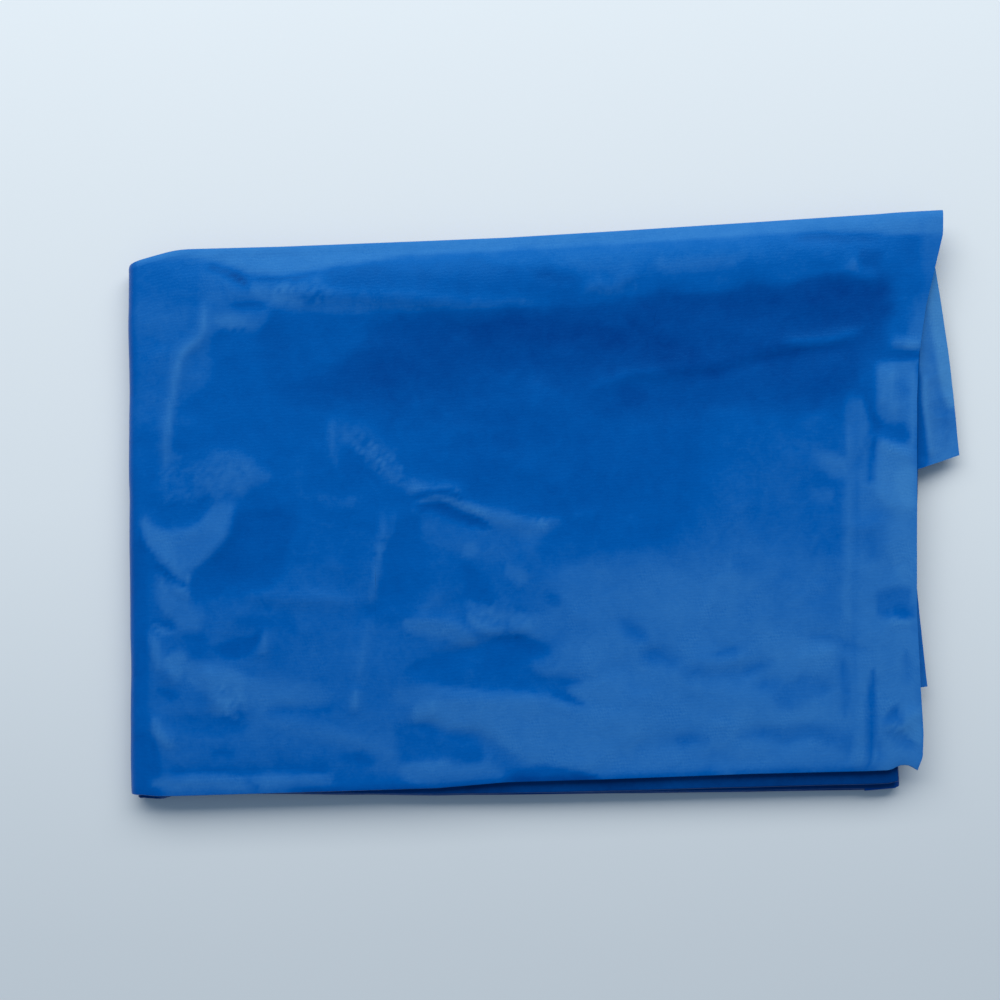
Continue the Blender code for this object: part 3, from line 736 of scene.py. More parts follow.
    Patch(((52, -61.6), (62, -62.6), (64, -66), (53, -67.6)), 0.545, 4.0),
    Patch(((69, -64.6), (76, -62), (84, -59.6), (87, -61), (82, -64), (76, -66.4), (70, -66.6)),
          0.525, 4.0, -0.1),
    Patch(((65, -57.4), (69.6, -54.6), (74.6, -54.4), (73.6, -57)), 0.515, 2.2, -0.1),
    Patch(((79.4, -68.6), (86, -66.4), (92, -67), (98, -65.4), (108, -67.4), (110, -70), (106, -73),
           (100, -74), (95, -77.4), (88, -75), (84, -71)), 0.535, 4.8, -0.14),
    Patch(((82, -69), (88, -67.4), (92, -70), (95.6, -75.6), (91, -75), (87, -71)), 0.505, 4.4),
    Patch(((75, -87.4), (84, -84.6), (92, -84.4), (100, -83), (112, -84), (119, -88.6), (120.4, -93),
           (116, -95), (108, -91), (100, -89), (92, -91.6), (88, -89.4)), 0.525, 4.4, -0.14),
    Patch(((76, -87.4), (82, -85.6), (88, -86), (86, -88)), 0.485, 3.5),
    Patch(((50, -87), (62, -87.4), (63, -91), (52, -92)), 0.505, 4.4, -0.1),
    Patch(((105, -30), (110, -28), (115, -29.6), (115.6, -40), (113.6, -46), (107, -42)), 0.565, 6.6),
    Patch(((73, -20), (78, -20), (78, -25.6), (73, -25.4)), 0.525, 5.3),
    Patch(((90, -22.4), (96, -23), (96, -27.6), (91, -27.4)), 0.575, 5.3),
    Patch(((99, 9), (113, 10), (114.6, 2), (114, -17), (101, -18)), 0.5, 3.4),
    Patch(((103.6, 18), (108, 20.4), (116, 17), (118, 12), (112, 10)), 0.74, 3.4),
    Patch(((103, 6.6), (110, 6), (111, 2), (104, 2.6)), 0.62, 3.1),
    # hem
    Patch(((128.6, 54.6), (135, 55), (142.4, 55), (143, 20), (142.6, -30), (142.6, -70), (142.6, -104),
           (131, -105), (119.4, -104), (119.4, -60), (119.4, -20), (119.4, 8), (121.4, 20), (126.4, 32),
           (127.8, 44)), 0.7, 2.4),
    Patch(((115.2, 38), (118.8, 38), (119.4, 0), (119.2, -50), (115.6, -52), (115, -20), (115.2, 10)),
          0.67, 2.4),
    Patch(((134, -2), (142.6, -3), (142.6, -29), (135, -28), (132, -16)), 0.8, 3.0),
    Patch(((120, 41.4), (123.6, 36), (124.6, 30), (121, 20), (119, 9), (116.4, 12), (115.6, 28), (117, 36)),
          0.69, 1.4),
    Patch(((121, 49), (125.4, 39), (128.4, 30), (127, 20), (126.6, 10), (123, 10), (124.4, 22), (123.4, 34)),
          0.48, 2.6),
    Patch(((127, 34), (131, 31), (138, 32), (140.6, 26), (136, 23.4), (130, 24.6), (125.4, 28)),
          0.44, 2.6, -0.1),
    Patch(((133, 47), (138.6, 48), (139, 42), (134, 41.6)), 0.58, 2.2),
    Patch(((127.6, 23.4), (133, 20.6), (141, 16), (142.6, 10), (142.6, -5), (134, -3), (127.6, 3),
           (126.6, 14)), 0.86, 3.0, 0.2),
    Patch(((134.4, 14), (141, 14), (141.6, 3), (138, -1), (134.6, 5)), 1.0, 3.0),
    Patch(((121, -4), (128, -3), (129, -18), (123, -20.4), (121, -13)), 0.58, 5.0),
    Patch(((124, 57), (134, 59.2), (141, 59.6), (145.4, 57.4), (140, 55.2), (126, 55.2)), 0.36, 2.0, -0.2),
    Patch(((137.6, -27), (142.6, -27), (142.6, -38), (138.6, -36)), 0.8, 1.8),
    Patch(((127, -33), (133, -31.6), (139.6, -32), (141.4, -37), (141.4, -42.4), (134.6, -43), (128, -42.6),
           (126.4, -38)), 0.51, 2.4, -0.15),
    Patch(((133.6, -38.6), (138, -38), (141.6, -41), (141.4, -43), (134.6, -42.8)), 0.43, 1.2),
    Patch(((113, -58), (115, -57), (117, -66), (116, -78), (114, -80)), 0.55, 2.2),
    Patch(((124.6, -63), (126.4, -66), (127.6, -78), (127, -90), (125.4, -98), (123.6, -98), (123.4, -74)),
          0.43, 1.9),
    Patch(((137, -60), (138.4, -56), (140, -58), (140.6, -65), (139, -69.4), (137, -66.4)), 0.57, 2.0, -0.15),
    Patch(((130, -82.4), (133, -77.6), (136, -76.8), (137.4, -84), (131, -83.4)), 0.45, 0.8, -0.25),
    Patch(((131, -85.2), (137, -86), (142.6, -90.8), (139, -93.4), (133, -90.4)), 0.56, 1.2),
    Patch(((137.4, -84), (141, -80), (144, -79), (144, -90.4), (140, -88.4)), 0.84, 1.2, 0.2),
)

# the bib's end, past the hem
FLAP_CREASES: tuple[Crease, ...] = (
    Crease(((142.8, 51), (143.6, 42), (144.4, 30), (145, 15)), -0.5, 1.3, 1.3, 0.0, 0.12),
    Crease(((146, 50), (145.8, 38), (147.2, 26), (148, 17)), 0.45, 0.9, 0.9, 0.12, 0.15),
    Crease(((149.4, 62), (150.6, 50), (152.6, 38), (153.6, 20)), 0.35, 1.6, 1.2, -0.06, 0.2),
)

FLAP_PATCHES: tuple[Patch, ...] = (
    Patch(((146, 92), (150.8, 88), (155, 62), (158.4, 40), (154.4, 38), (151.4, 46), (149.4, 60), (147, 76)),
          1.02),
    # painted shadow that the hem's cut edge casts on the flap
    Patch(((142.6, 52), (144.2, 47), (144.8, 38), (146.2, 28), (147.2, 16), (142.4, 14), (142.4, 30)), 0.4),
)

# where the embossing's sparkle is painted as glints: here a patch's tone is the painted sparkle's strength
GLINTS: tuple[Patch, ...] = (
    Patch(((-77, 24), (-74, 29), (-65, 23), (-53, 13.5), (-50, 8.6), (-56, 8.6), (-68, 15)), 0.16, 3.0),
    Patch(((-107, 84), (-96, 86), (-84, 85), (-80, 79), (-88, 76.6), (-104, 77)), 0.12, 4.0),
    Patch(((-125, 70), (-119, 72), (-112, 70), (-113, 65), (-121, 66)), 0.1, 3.0),
    Patch(((-64, -12), (-61, -12), (-62, -20), (-65, -20)), 0.14),
    Patch(((-4, -5), (2, -5), (2, -9.5), (-4, -9.5)), 0.16, 2.4),
    Patch(((-146, 18), (-128, 19), (-112, 14), (-120, 4), (-134, -2), (-146, 2)), 0.07, 6.0),
    Patch(((-149, -21), (-139, -20), (-135, -31), (-145, -34)), 0.09, 4.0),
    Patch(((-127, -70), (-117, -70), (-114, -82), (-124, -84)), 0.12, 4.0),
    Patch(((-26, -36), (-14, -37), (-4, -46), (-8, -53), (-20, -50)), 0.1, 4.0),
)


def minor_creases(count: int, seed: int, box: tuple[float, float, float, float]) -> tuple[Crease, ...]:
    """Faint creases that a handled film has all over, scattered by a seeded generator.

    Args:
        count: how many.
        seed: picks their places, directions and sizes.
        box: the picture plane's least and greatest x, then y.

    Returns:
        The creases, each through three points that bend slightly.
    """
    random = np.random.default_rng(seed)
    creases = []
    for _ in range(count):
        middle = np.array([random.uniform(box[0], box[1]), random.uniform(box[2], box[3])])
        angle = random.normal(0.0, 0.9)
        half = random.uniform(2.5, 12.0) * np.array([np.cos(angle), np.sin(angle)])
        bow = random.uniform(-0.25, 0.25) * np.array([-half[1], half[0]])
        points = tuple(tuple(place) for place in (middle - half, middle + bow, middle + half))
        height = random.uniform(0.04, 0.18) * random.choice([-1.0, 1.0])
        left, right = random.uniform(0.5, 1.8), random.uniform(0.5, 1.8)
        # a quarter of the height as tone: painted highlight on the ridges, painted shade in the troughs
        creases.append(Crease(points, height, left, right, tone=0.25 * height))
    return tuple(creases)


@dataclass(frozen=True)
class Relief:
    """How the top sheet lies and how pale it looks: swell, creases, patches and fine crumple.

    Lines and outlines are bent a little before they are read, creases less than patches. Wrinkled
    is the mean strength of both sizes of wrinkle, and the next two fields change it from place to
    place. The fold highlight band is the pale strip of painted highlight along the book fold, where
    it faces the light, as stations along the picture plane and the strip's width at each.
    """

    outline: Outline
    view: View
    creases: tuple[Crease, ...] = CREASES + minor_creases(150, 71, (-156.0, 140.0, -106.0, 96.0))
    patches: tuple[Patch, ...] = PATCHES
    glints: tuple[Patch, ...] = GLINTS
    top: float = PACKET_TOP
    swell_peak: float = 17.0
    swell_power: float = 2.1
    hem_x: float = 119.0
    hem_rise: float = 0.35
    hem_blend: float = 2.5
    edge_blend: float = 5.0
    crease_bend: float = 0.25
    patch_bend: float = 0.8
    bends: tuple[tuple[Ripple, Ripple], ...] = (
        (Ripple(1.0, 13.0, 81), Ripple(0.35, 5.0, 82)),
        (Ripple(1.0, 13.0, 83), Ripple(0.35, 5.0, 84)),
    )
    billows: Ripple = Ripple(0.30, 34.0, 11)
    hollows: Ripple = Ripple(0.14, 13.0, 12)
    wrinkles: Ripple = Ripple(0.16, 17.0, 13)
    fine_wrinkles: Ripple = Ripple(0.05, 6.0, 15)
    wrinkled: float = 0.6
    wrinkled_more: Ripple = Ripple(0.4, 40.0, 14)
    fine_wrinkled_more: Ripple = Ripple(0.4, 25.0, 16)
    plain_tone: float = 0.455
    # painted light: the film grows paler towards the south; the north fall darkens it near the book fold
    south_painted_light: float = 0.14
    south_ramp: Ramp = Ramp(30.0, -90.0)
    north_fall: float = 0.10
    north_ramp: Ramp = Ramp(70.0, 84.0)
    # the painted highlight along the book fold, which faces the light
    fold_highlight_tone: float = 0.78
    fold_blend: float = 2.6
    fold_waver: Ripple = Ripple(0.5, 7.0, 21)
    fold_highlight_band: Points = (
        (-150, 2.0), (-140, 3.4), (-126, 6.0), (-118, 8.8), (-112, 11.6), (-100, 12.0), (-90, 10.6),
        (-80, 9.0), (-65, 7.2), (-50, 6.0), (0, 5.6), (60, 6.0), (108, 5.6), (120, 7.6), (150, 10.0),
    )
    dashes: Ripple = Ripple(0.5, 1.3, 22)
    specks: Ripple = Ripple(1.0, 0.8, 23)

    def swell(self, x: Array, y: Array) -> Array:
        """The long swell beside the book fold: v e^(1 - v) to a power, v growing away from the fold."""
        inward = np.clip(self.outline.north(x) - y, 0.0, None) / self.swell_peak
        return self.outline.column("swell", x) * (inward * np.exp(1.0 - inward)) ** self.swell_power

    def drawn(self, x: Array, y: Array, bend: float) -> tuple[Array, Array]:
        """Places of the top sheet on the picture plane, bent a little so that no outline is too clean.

        Args:
            x: places along the packet.
            y: places across the packet.
            bend: how far they are shifted at most, roughly.

        Returns:
            The two coordinates on the picture plane.
        """
        u, v = self.view.seen(x, y, self.top + self.swell(x, y))
        shift_u, shift_v = (coarse.waves(u, v) + fine.waves(u, v) for coarse, fine in self.bends)
        return u + bend * shift_u, v + bend * shift_v

    def height(self, x: Array, y: Array) -> Array:
        """Height over the flat top: swell, creases, patches' lifts, hem step and three sizes of crumple.

        Args:
            x: places along the packet.
            y: places across the packet.

        Returns:
            The height at each place, which is 0 along the long edges.
        """
        height = self.swell(x, y)
        u, v = self.drawn(x, y, self.crease_bend)
        for crease in self.creases:
            height += crease.height * crease.profile(u, v)
        u, v = self.drawn(x, y, self.patch_bend)
        for patch in self.patches:
            if patch.lift:
                height += patch.lift * patch.cover(u, v)
        height += self.hem_rise * ease((u - self.hem_x) / self.hem_blend + 0.5)
        height += self.billows.waves(x, y) + self.hollows.waves(x + 0.5 * y, y)
        height += self.wrinkles.ridges(x, 1.3 * y) * (self.wrinkled + self.wrinkled_more.waves(x, y))
        height += self.fine_wrinkles.ridges(x, y) * (self.wrinkled + self.fine_wrinkled_more.waves(x, y))
        edge = np.minimum(self.outline.north(x) - y, y - self.outline.south(x, np.zeros_like(x)))
        return height * ease(edge / self.edge_blend)

    def tone(self, x: Array, y: Array) -> Array:
        """How pale the film looks, 0 to 1 and a little over.

        Patches are laid over each other and the fold highlight band over them, then creases are
        added, and at last glints, where the embossing's sparkle is painted in short slanting dashes.
        Much of the tone is painted light: highlights where the film faces the light, and shade on
        slopes and in creases, beside paler film with air under it and darker film that clings.

        Args:
            x: places along the packet.
            y: places across the packet.

        Returns:
            The tone at each place.
        """
        u, v = self.drawn(x, y, self.patch_bend)
        tone = np.full(x.shape, self.plain_tone)
        for patch in self.patches:
            tone += (patch.tone - tone) * patch.cover(u, v)
        places, widths = zip(*self.fold_highlight_band)
        inward = self.outline.north(x) - y
        width = soft_line(u, places, widths, blend=4.0) + self.fold_waver.waves(u, v)
        tone += self.south_painted_light * self.south_ramp.at(v) - self.north_fall * self.north_ramp.at(v)
        tone += (self.fold_highlight_tone - tone) * ease((width - inward) / self.fold_blend + 0.5)
        u, v = self.drawn(x, y, self.crease_bend)
        for crease in self.creases:
            if crease.tone:
                tone += crease.tone * crease.profile(u, v)
        sparkle = self.dashes.waves(u + v, 1.7 * (v - u)) + self.specks.waves(u + 0.3 * v, v)
        for glint in self.glints:
            tone += glint.tone * sparkle * glint.cover(u, v)
        return np.clip(tone, 0.0, MOST_TONE)


# ---- The folded strip's path ----


class Leg(IntEnum):
    """The legs of the folded strip, in order from the hem to the bib."""

    TOP = 0
    WRAP = 1
    BOTTOM = 2
    NOSE = 3
    THIRD = 4
    INNER_FOLD = 5
    SECOND = 6
    END = 7


@dataclass(frozen=True)
class Serpentine:
    """The folded strip seen from its long side: four straight legs joined by three half turns.

    A place on it is a way, whose whole part is the leg and whose fraction is the part of that leg.
    Depth is measured from the strip's outer face into the strip.
    """

    outline: Outline
    top: float = PACKET_TOP
    strip: float = 2.5
    play: float = 0.1
    nose_x: float = 135.6
    second_end: float = 133.5
    leg_lowness: tuple[float, ...] = (0.0, 0.0, 1.0, 1.0, 1.0, 0.9, 0.8, 0.7)

    def face(self, way: Array, part: Array) -> tuple[Array, ...]:
        """The strip's outer face: straight lines, and half circles by sine and cosine.

        Args:
            way: places along the strip.
            part: places across the packet, 0 at the south edge and 1 at the north edge.

        Returns:
            x, z, and the x and z of the face's outward normal.
        """
        way, part = np.broadcast_arrays(way, part)
        leg = np.clip(np.floor(way), Leg.TOP, Leg.SECOND)
        step = way - leg
        turn = np.pi * step
        sine, cosine = np.sin(turn), np.cos(turn)
        middle, nose = self.top / 2, self.strip + self.play / 4
        bend = self.outline.west(part) + middle
        nose_centre = self.nose_x - nose
        slit = self.play / 2
        zero, one = np.zeros_like(way), np.ones_like(way)
        table = {
            Leg.TOP: (self.outline.east(part) * (1 - step) + bend * step, self.top * one, zero, one),
            Leg.WRAP: (bend - middle * sine, middle + middle * cosine, -sine, cosine),
            Leg.BOTTOM: (bend * (1 - step) + nose_centre * step, zero, zero, -one),
            Leg.NOSE: (nose_centre + nose * sine, nose - nose * cosine, sine, -cosine),
            Leg.THIRD: (nose_centre * (1 - step) + bend * step, 2 * nose * one, zero, one),
            Leg.INNER_FOLD: (bend - slit * sine, middle - slit * cosine, sine, cosine),
            Leg.SECOND: (bend * (1 - step) + self.second_end * step, (middle + slit) * one, zero, -one),
        }
        picks = [leg == number for number in table]
        return tuple(np.select(picks, [row[i] for row in table.values()]) for i in range(4))

    def lowness(self, way: Array) -> Array:
        """How far each leg's south edge keeps to the low layers' outline."""
        return np.interp(way, list(Leg), self.leg_lowness)


# ---- Meshes ----


@dataclass(frozen=True)
class FilmGrid:
    """A stretch of film as a grid of points on its middle surface, with a tone at each.

    Slack is how far the wall's coarse inner face may sink to stay clear of the outer one's dents,
    and before is the length of film ahead of the first row.
    """

    points: Array
    tone: Array
    slack: Array
    before: float = 0.0

    def split(self, cuts: Sequence[int]) -> list["FilmGrid"]:
        """The grid in stretches, each of which shares a row with the next.

        Args:
            cuts: the rows at which it is cut.

        Returns:
            The stretches in order.
        """
        length = self.laid_flat()[:, 0, 0]
        stretches = []
        for start, stop in zip((0, *cuts), (*cuts, len(length) - 1)):
            rows = slice(start, stop + 1)
            before = float(length[start])
            stretches.append(FilmGrid(self.points[rows], self.tone[rows], self.slack[rows], before))
        return stretches

    def normals(self) -> Array:
        """The cross product of the steps along and across, brought to length 1.

        Returns:
            The unit normal at each point.
        """
        along, across = np.gradient(self.points, axis=0), np.gradient(self.points, axis=1)
        normal = np.cross(along, across)
        return normal / np.maximum(np.linalg.norm(normal, axis=-1, keepdims=True), 1e-9)

    def dips(self, reach: int) -> Array:
        """How far the film falls below each point, along its normal, within some cells of it.

        Args:
            reach: how many cells are looked at each way.

        Returns:
            The fall at each point.
        """
        rows, columns = self.points.shape[:2]
        normals = self.normals()
        deepest = np.zeros((rows, columns))
        for i in range(-reach, reach + 1):
            for j in range(-reach, reach + 1):
                row = np.clip(np.arange(rows) + i, 0, rows - 1)
                column = np.clip(np.arange(columns) + j, 0, columns - 1)
                step = self.points - self.points[np.ix_(row, column)]
                deepest = np.maximum(deepest, (step * normals).sum(axis=-1))
        return deepest

    def laid_flat(self) -> Array:
        """Each point's place on the film before it was folded.

        Returns:
            Two path lengths for each point: along the film, and across it.
        """
        along = np.linalg.norm(np.diff(self.points, axis=0), axis=-1).mean(axis=1)
        across = np.linalg.norm(np.diff(self.points, axis=1), axis=-1).mean(axis=0)
        u = self.before + np.concatenate([[0.0], np.cumsum(along)])
        v = np.concatenate([[0.0], np.cumsum(across)])
        return np.stack(np.meshgrid(u, v, indexing="ij"), axis=-1)

    def area(self) -> float:
        """The middle surface's area: half the cross product of each cell's two diagonals.

        Returns:
            Square millimetres.
        """
        points = self.points
        rising = points[1:, 1:] - points[:-1, :-1]
        falling = points[:-1, 1:] - points[1:, :-1]
        return float(np.linalg.norm(np.cross(rising, falling), axis=-1).sum() / 2)

    def wall(self, thickness: float, skip: int) -> tuple[Array, list[list[int]], Array]:
        """A closed wall: a fine outer face, an inner face with every skip-th point, and a rim between.

        Args:
            thickness: the wall's thickness.
            skip: how many outer cells one inner cell spans; it divides the grid both ways.

        Returns:
            The vertices, the faces, and for each vertex the number of its grid point.
        """
        rows, columns = self.points.shape[:2]
        offset = self.normals() * thickness / 2
        sunk = self.normals() * np.minimum(self.dips(skip - 1), self.slack)[..., None]
        outer = np.arange(rows * columns).reshape(rows, columns)
        picked = outer[::skip, ::skip]
        inner = np.arange(picked.size).reshape(picked.shape) + outer.size
        vertices = np.concatenate([
            (self.points + offset).reshape(-1, 3),
            (self.points - offset - sunk)[::skip, ::skip].reshape(-1, 3),
        ])
        faces = cells(outer).tolist() + cells(inner)[:, ::-1].tolist()
        loop, back = border(outer), border(inner)
        ahead = np.roll(back, -1)
        spans = [np.roll(loop, -shift)[::skip] for shift in range(skip + 1)]
        faces += np.stack([*spans, ahead, back], axis=-1).tolist()
        return vertices, faces, np.concatenate([outer.ravel(), picked.ravel()])


def cells(index: Array) -> Array:
    """The four corners of each cell of a grid of vertex numbers, turning from the rows to the columns."""
    return np.stack([index[:-1, :-1], index[1:, :-1], index[1:, 1:], index[:-1, 1:]], axis=-1).reshape(-1, 4)


def border(index: Array) -> Array:
    """The vertex numbers round a grid's edge."""
    return np.concatenate([index[0, :], index[1:, -1], index[-1, -2::-1], index[-2:0:-1, 0]])


def triangles(piece: bpy.types.Object) -> int:
    """How many triangles a piece has."""
    return sum(len(face.vertices) - 2 for face in piece.data.polygons)


def make_object(
    name: str,
    vertices: Array,
    faces: list[list[int]],
    flat: Array,
    tone: Array,
    material: bpy.types.Material,
) -> bpy.types.Object:
    """A mesh object at the origin, with its place on the film and its tone as point attributes.

    Args:
        name: the object's name.
        vertices: points in millimetres.
        faces: vertex numbers of each face.
        flat: place of each vertex on the flat film, in millimetres.
        tone: tone of each vertex.
        material: its finish.

    Returns:
        The object.
    """
    mesh = bpy.data.meshes.new(name)
    mesh.from_pydata((vertices * MM).tolist(), [], faces)
    mesh.update()
    mesh.shade_smooth()
    mesh.set_sharp_from_angle(angle=np.radians(SHARP_ANGLE))
    place = mesh.attributes.new("flat", "FLOAT_VECTOR", "POINT")
    padded = np.concatenate([flat, np.zeros((len(flat), 1))], axis=1)
    place.data.foreach_set("vector", padded.astype(np.float32).ravel())
    shade = mesh.attributes.new("tone", "FLOAT", "POINT")
    shade.data.foreach_set("value", tone.astype(np.float32))
    mesh.materials.append(material)
    piece = bpy.data.objects.new(name, mesh)
    bpy.context.scene.collection.objects.link(piece)
    return piece


@dataclass(frozen=True)
class Declaration:
    """What is kept of a piece: its slot, the nodes it stands for and what it lies on."""

    slot: str
    nodes: tuple[str, ...]
    rests_on: tuple[str, ...] = ()


def film_piece(
    name: str,
    grid: FilmGrid,
    finish: bpy.types.Material,
    told: Declaration,
    thickness: float = FILM_WALL,
    skip: int = 3,
) -> bpy.types.Object:
    """One stretch of film as a closed wall, whose flat size is logged.

    Args:
        name: the piece's name.
        grid: its middle surface.
        finish: its material.
        told: its slot, nodes and support.
        thickness: the wall's thickness in millimetres.
        skip: how many outer cells one inner cell spans.

    Returns:
        The object.
    """
    vertices, faces, source = grid.wall(thickness, skip)
    flat = grid.laid_flat()
    place, tone = flat.reshape(-1, 2)[source], grid.tone.ravel()[source]
    piece = make_object(name, vertices, faces, place, tone, finish)
    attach(piece, BODY)
    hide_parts(*told.nodes)
    length, width = (flat[-1, -1] - flat[0, 0]) * MM
    area = min(grid.area() * MM**2, length * width)
    LOG.info("%s: %d triangles, flat %.0f x %.0f mm", name, triangles(piece), width / MM, length / MM)
    return piece


# ---- Shader maths and finishes ----


class Signal:
    """A number in a material: wraps a node's output and adds a Math node for each operation."""

    def __init__(self, graph: "Graph", socket: bpy.types.NodeSocket) -> None:
        """Keep the graph and the socket."""
        self.graph = graph
        self.socket = socket

    def math(self, operation: str, first: object, second: object = 0.0) -> "Signal":
        """One Math node on two numbers or signals."""
        return self.graph.signal("ShaderNodeMath", {"operation": operation}, {0: first, 1: second})

    def __add__(self, other: object) -> "Signal":
        """Sum."""
        return self.math("ADD", self, other)

    def __radd__(self, other: object) -> "Signal":
        """Sum, from the right."""
        return self.math("ADD", other, self)

    def __sub__(self, other: object) -> "Signal":
        """Difference."""
        return self.math("SUBTRACT", self, other)

    def __rsub__(self, other: object) -> "Signal":
        """Difference, from the right."""
        return self.math("SUBTRACT", other, self)

    def __mul__(self, other: object) -> "Signal":
        """Product."""
        return self.math("MULTIPLY", self, other)

    def __rmul__(self, other: object) -> "Signal":
        """Product, from the right."""
        return self.math("MULTIPLY", other, self)

    def sine(self) -> "Signal":
        """Its sine."""
        return self.math("SINE", self)

    def above(self, floor: float) -> "Signal":
        """Itself, or the floor where it is less."""
        return self.math("MAXIMUM", self, floor)


@dataclass(frozen=True)
class Stir:
    """One size of noise in a finish, and the share of it that stirs the colour."""

    scale: float
    detail: float
    distortion: float
    share: float


class Graph:
    """A material's nodes, made one at a time from a type, its settings and its inputs."""

    def __init__(self, name: str) -> None:
        """Start a material with an output and a Principled shader.

        Args:
            name: the material's name.
        """
        self.material = bpy.data.materials.new(name)
        self.material.use_nodes = True
        self.tree = self.material.node_tree
        self.shader = self.tree.nodes["Principled BSDF"]

    def feed(self, node: bpy.types.Node, inputs: Inputs) -> None:
        """Link or set each input of a node.

        Args:
            node: the node.
            inputs: a signal, a socket or a value for each input's name or number.
        """
        for key, value in inputs.items():
            if isinstance(value, Signal):
                self.tree.links.new(value.socket, node.inputs[key])
            elif isinstance(value, bpy.types.NodeSocket):
                self.tree.links.new(value, node.inputs[key])
            else:
                node.inputs[key].default_value = value

    def node(self, kind: str, settings: Settings, inputs: Inputs) -> bpy.types.Node:
        """Any node: its settings are set first, then its inputs.

        Args:
            kind: the node's type.
            settings: its properties, such as a Math node's operation.
            inputs: what is linked or set at each input.

        Returns:
            The node.
        """
        node = self.tree.nodes.new(kind)
        for key, value in settings.items():
            setattr(node, key, value)
        self.feed(node, inputs)
        return node

    def signal(self, kind: str, settings: Settings, inputs: Inputs) -> Signal:
        """The first output of a new node, as a signal."""
        return Signal(self, self.node(kind, settings, inputs).outputs[0])

    def attribute(self, name: str) -> bpy.types.Node:
        """A node that reads one of the mesh's attributes."""
        return self.node("ShaderNodeAttribute", {"attribute_name": name}, {})

    def noise(self, place: bpy.types.NodeSocket, stir: Stir) -> Signal:
        """Noise centred on 0, about -0.5 to 0.5."""
        size = {"Scale": stir.scale, "Detail": stir.detail, "Distortion": stir.distortion}
        return self.signal("ShaderNodeTexNoise", {}, {"Vector": place, **size}) - 0.5

    def mix(self, factor: Signal, low: object, high: object, clamped: bool = True) -> bpy.types.NodeSocket:
        """A colour between two others, and past them where it isn't clamped.

        Args:
            factor: 0 for the low colour, 1 for the high one.
            low: a colour or a socket.
            high: a colour or a socket.
            clamped: whether the factor stays within 0 and 1.

        Returns:
            The colour's socket.
        """
        ends = [end if isinstance(end, bpy.types.NodeSocket) else (*end, 1.0) for end in (low, high)]
        settings = {"data_type": "RGBA", "clamp_factor": clamped}
        return self.node("ShaderNodeMix", settings, {0: factor, 6: ends[0], 7: ends[1]}).outputs[2]


@dataclass(frozen=True)
class FilmFinish:
    """Embossed PVC film: deeper where it clings to the layer below and where shade is painted, paler where
    air lies under it and where highlights are painted.
    """

    name: str
    cling_and_shade: Colour = (0.000, 0.0255, 0.189)
    plain: Colour = (0.000, 0.098, 0.404)
    airy_and_lit: Colour = (0.041, 0.200, 0.507)
    stirs: tuple[Stir, ...] = (
        Stir(0.05, 2.0, 0.6, 0.10),
        Stir(0.14, 2.0, 0.8, 0.13),
        Stir(0.30, 2.0, 1.0, 0.10),
        Stir(0.75, 3.0, 0.4, 0.08),
    )
    roughness: float = 0.36
    roughness_change: float = 0.12
    specular: float = 0.22
    tint: Colour = (0.10, 0.62, 1.0)
    emboss_pitch: float = 1.15
    emboss_slants: tuple[float, float] = (0.6, 1.2)
    emboss_bend: float = 2.4
    emboss_height: float = 0.010
    emboss_shine: float = 0.9
    shine_from: float = 0.42
    shine_spread: float = 0.04
    shine_stir: Stir = Stir(0.09, 3.0, 1.0, 1.0)
    ripple_height: float = 0.05

    def material(self) -> bpy.types.Material:
        """The film's material.

        The colour goes from clinging and shaded over plain to airy and lit with the tone, which four
        sizes of noise stir a little. The bump is a grain of small diamonds, the product of two
        crossed sine waves on bent axes, on top of faint ripples, and the same grain is painted into
        the colour as glints here and there where the film is pale.

        Returns:
            The material.
        """
        graph = Graph(self.name)
        flat = graph.attribute("flat").outputs["Vector"]
        tone = Signal(graph, graph.attribute("tone").outputs["Fac"])
        noises = [graph.noise(flat, stir) for stir in self.stirs]
        broad, middle, small, fine = noises
        parts = graph.node("ShaderNodeSeparateXYZ", {}, {0: flat})
        u = Signal(graph, parts.outputs[0]) + fine * self.emboss_bend
        v = Signal(graph, parts.outputs[1]) + small * self.emboss_bend
        wave = np.pi / self.emboss_pitch
        rising, falling = self.emboss_slants
        grain = ((u + v * rising) * wave).sine() * ((u - v * falling) * wave).sine()
        places = (graph.noise(flat, self.shine_stir) + self.shine_spread).above(0.0)
        # painted glints: the grain's sparkle painted into the colour where the film is pale
        glint = (grain + fine) * ((tone - self.shine_from).above(0.0) * places) * self.emboss_shine
        stirred = tone
        for stir, noise in zip(self.stirs, noises):
            stirred = stirred + noise * stir.share
        doubled = (stirred + glint) * 2.0
        lower_half = graph.mix(doubled, self.cling_and_shade, self.plain)
        colour = graph.mix((doubled - 1.0).above(0.0), lower_half, self.airy_and_lit, clamped=False)
        height = grain * self.emboss_height + middle * self.ripple_height * 2.0 + fine * self.ripple_height
        bump = graph.node("ShaderNodeBump", {}, {"Strength": 1.0, "Distance": MM, "Height": height})
        graph.feed(graph.shader, {
            "Base Color": colour,
            "Roughness": broad * self.roughness_change + self.roughness,
            "Normal": bump.outputs[0],
            "Specular IOR Level": self.specular,
            "Specular Tint": (*self.tint, 1.0),
        })
        return graph.material


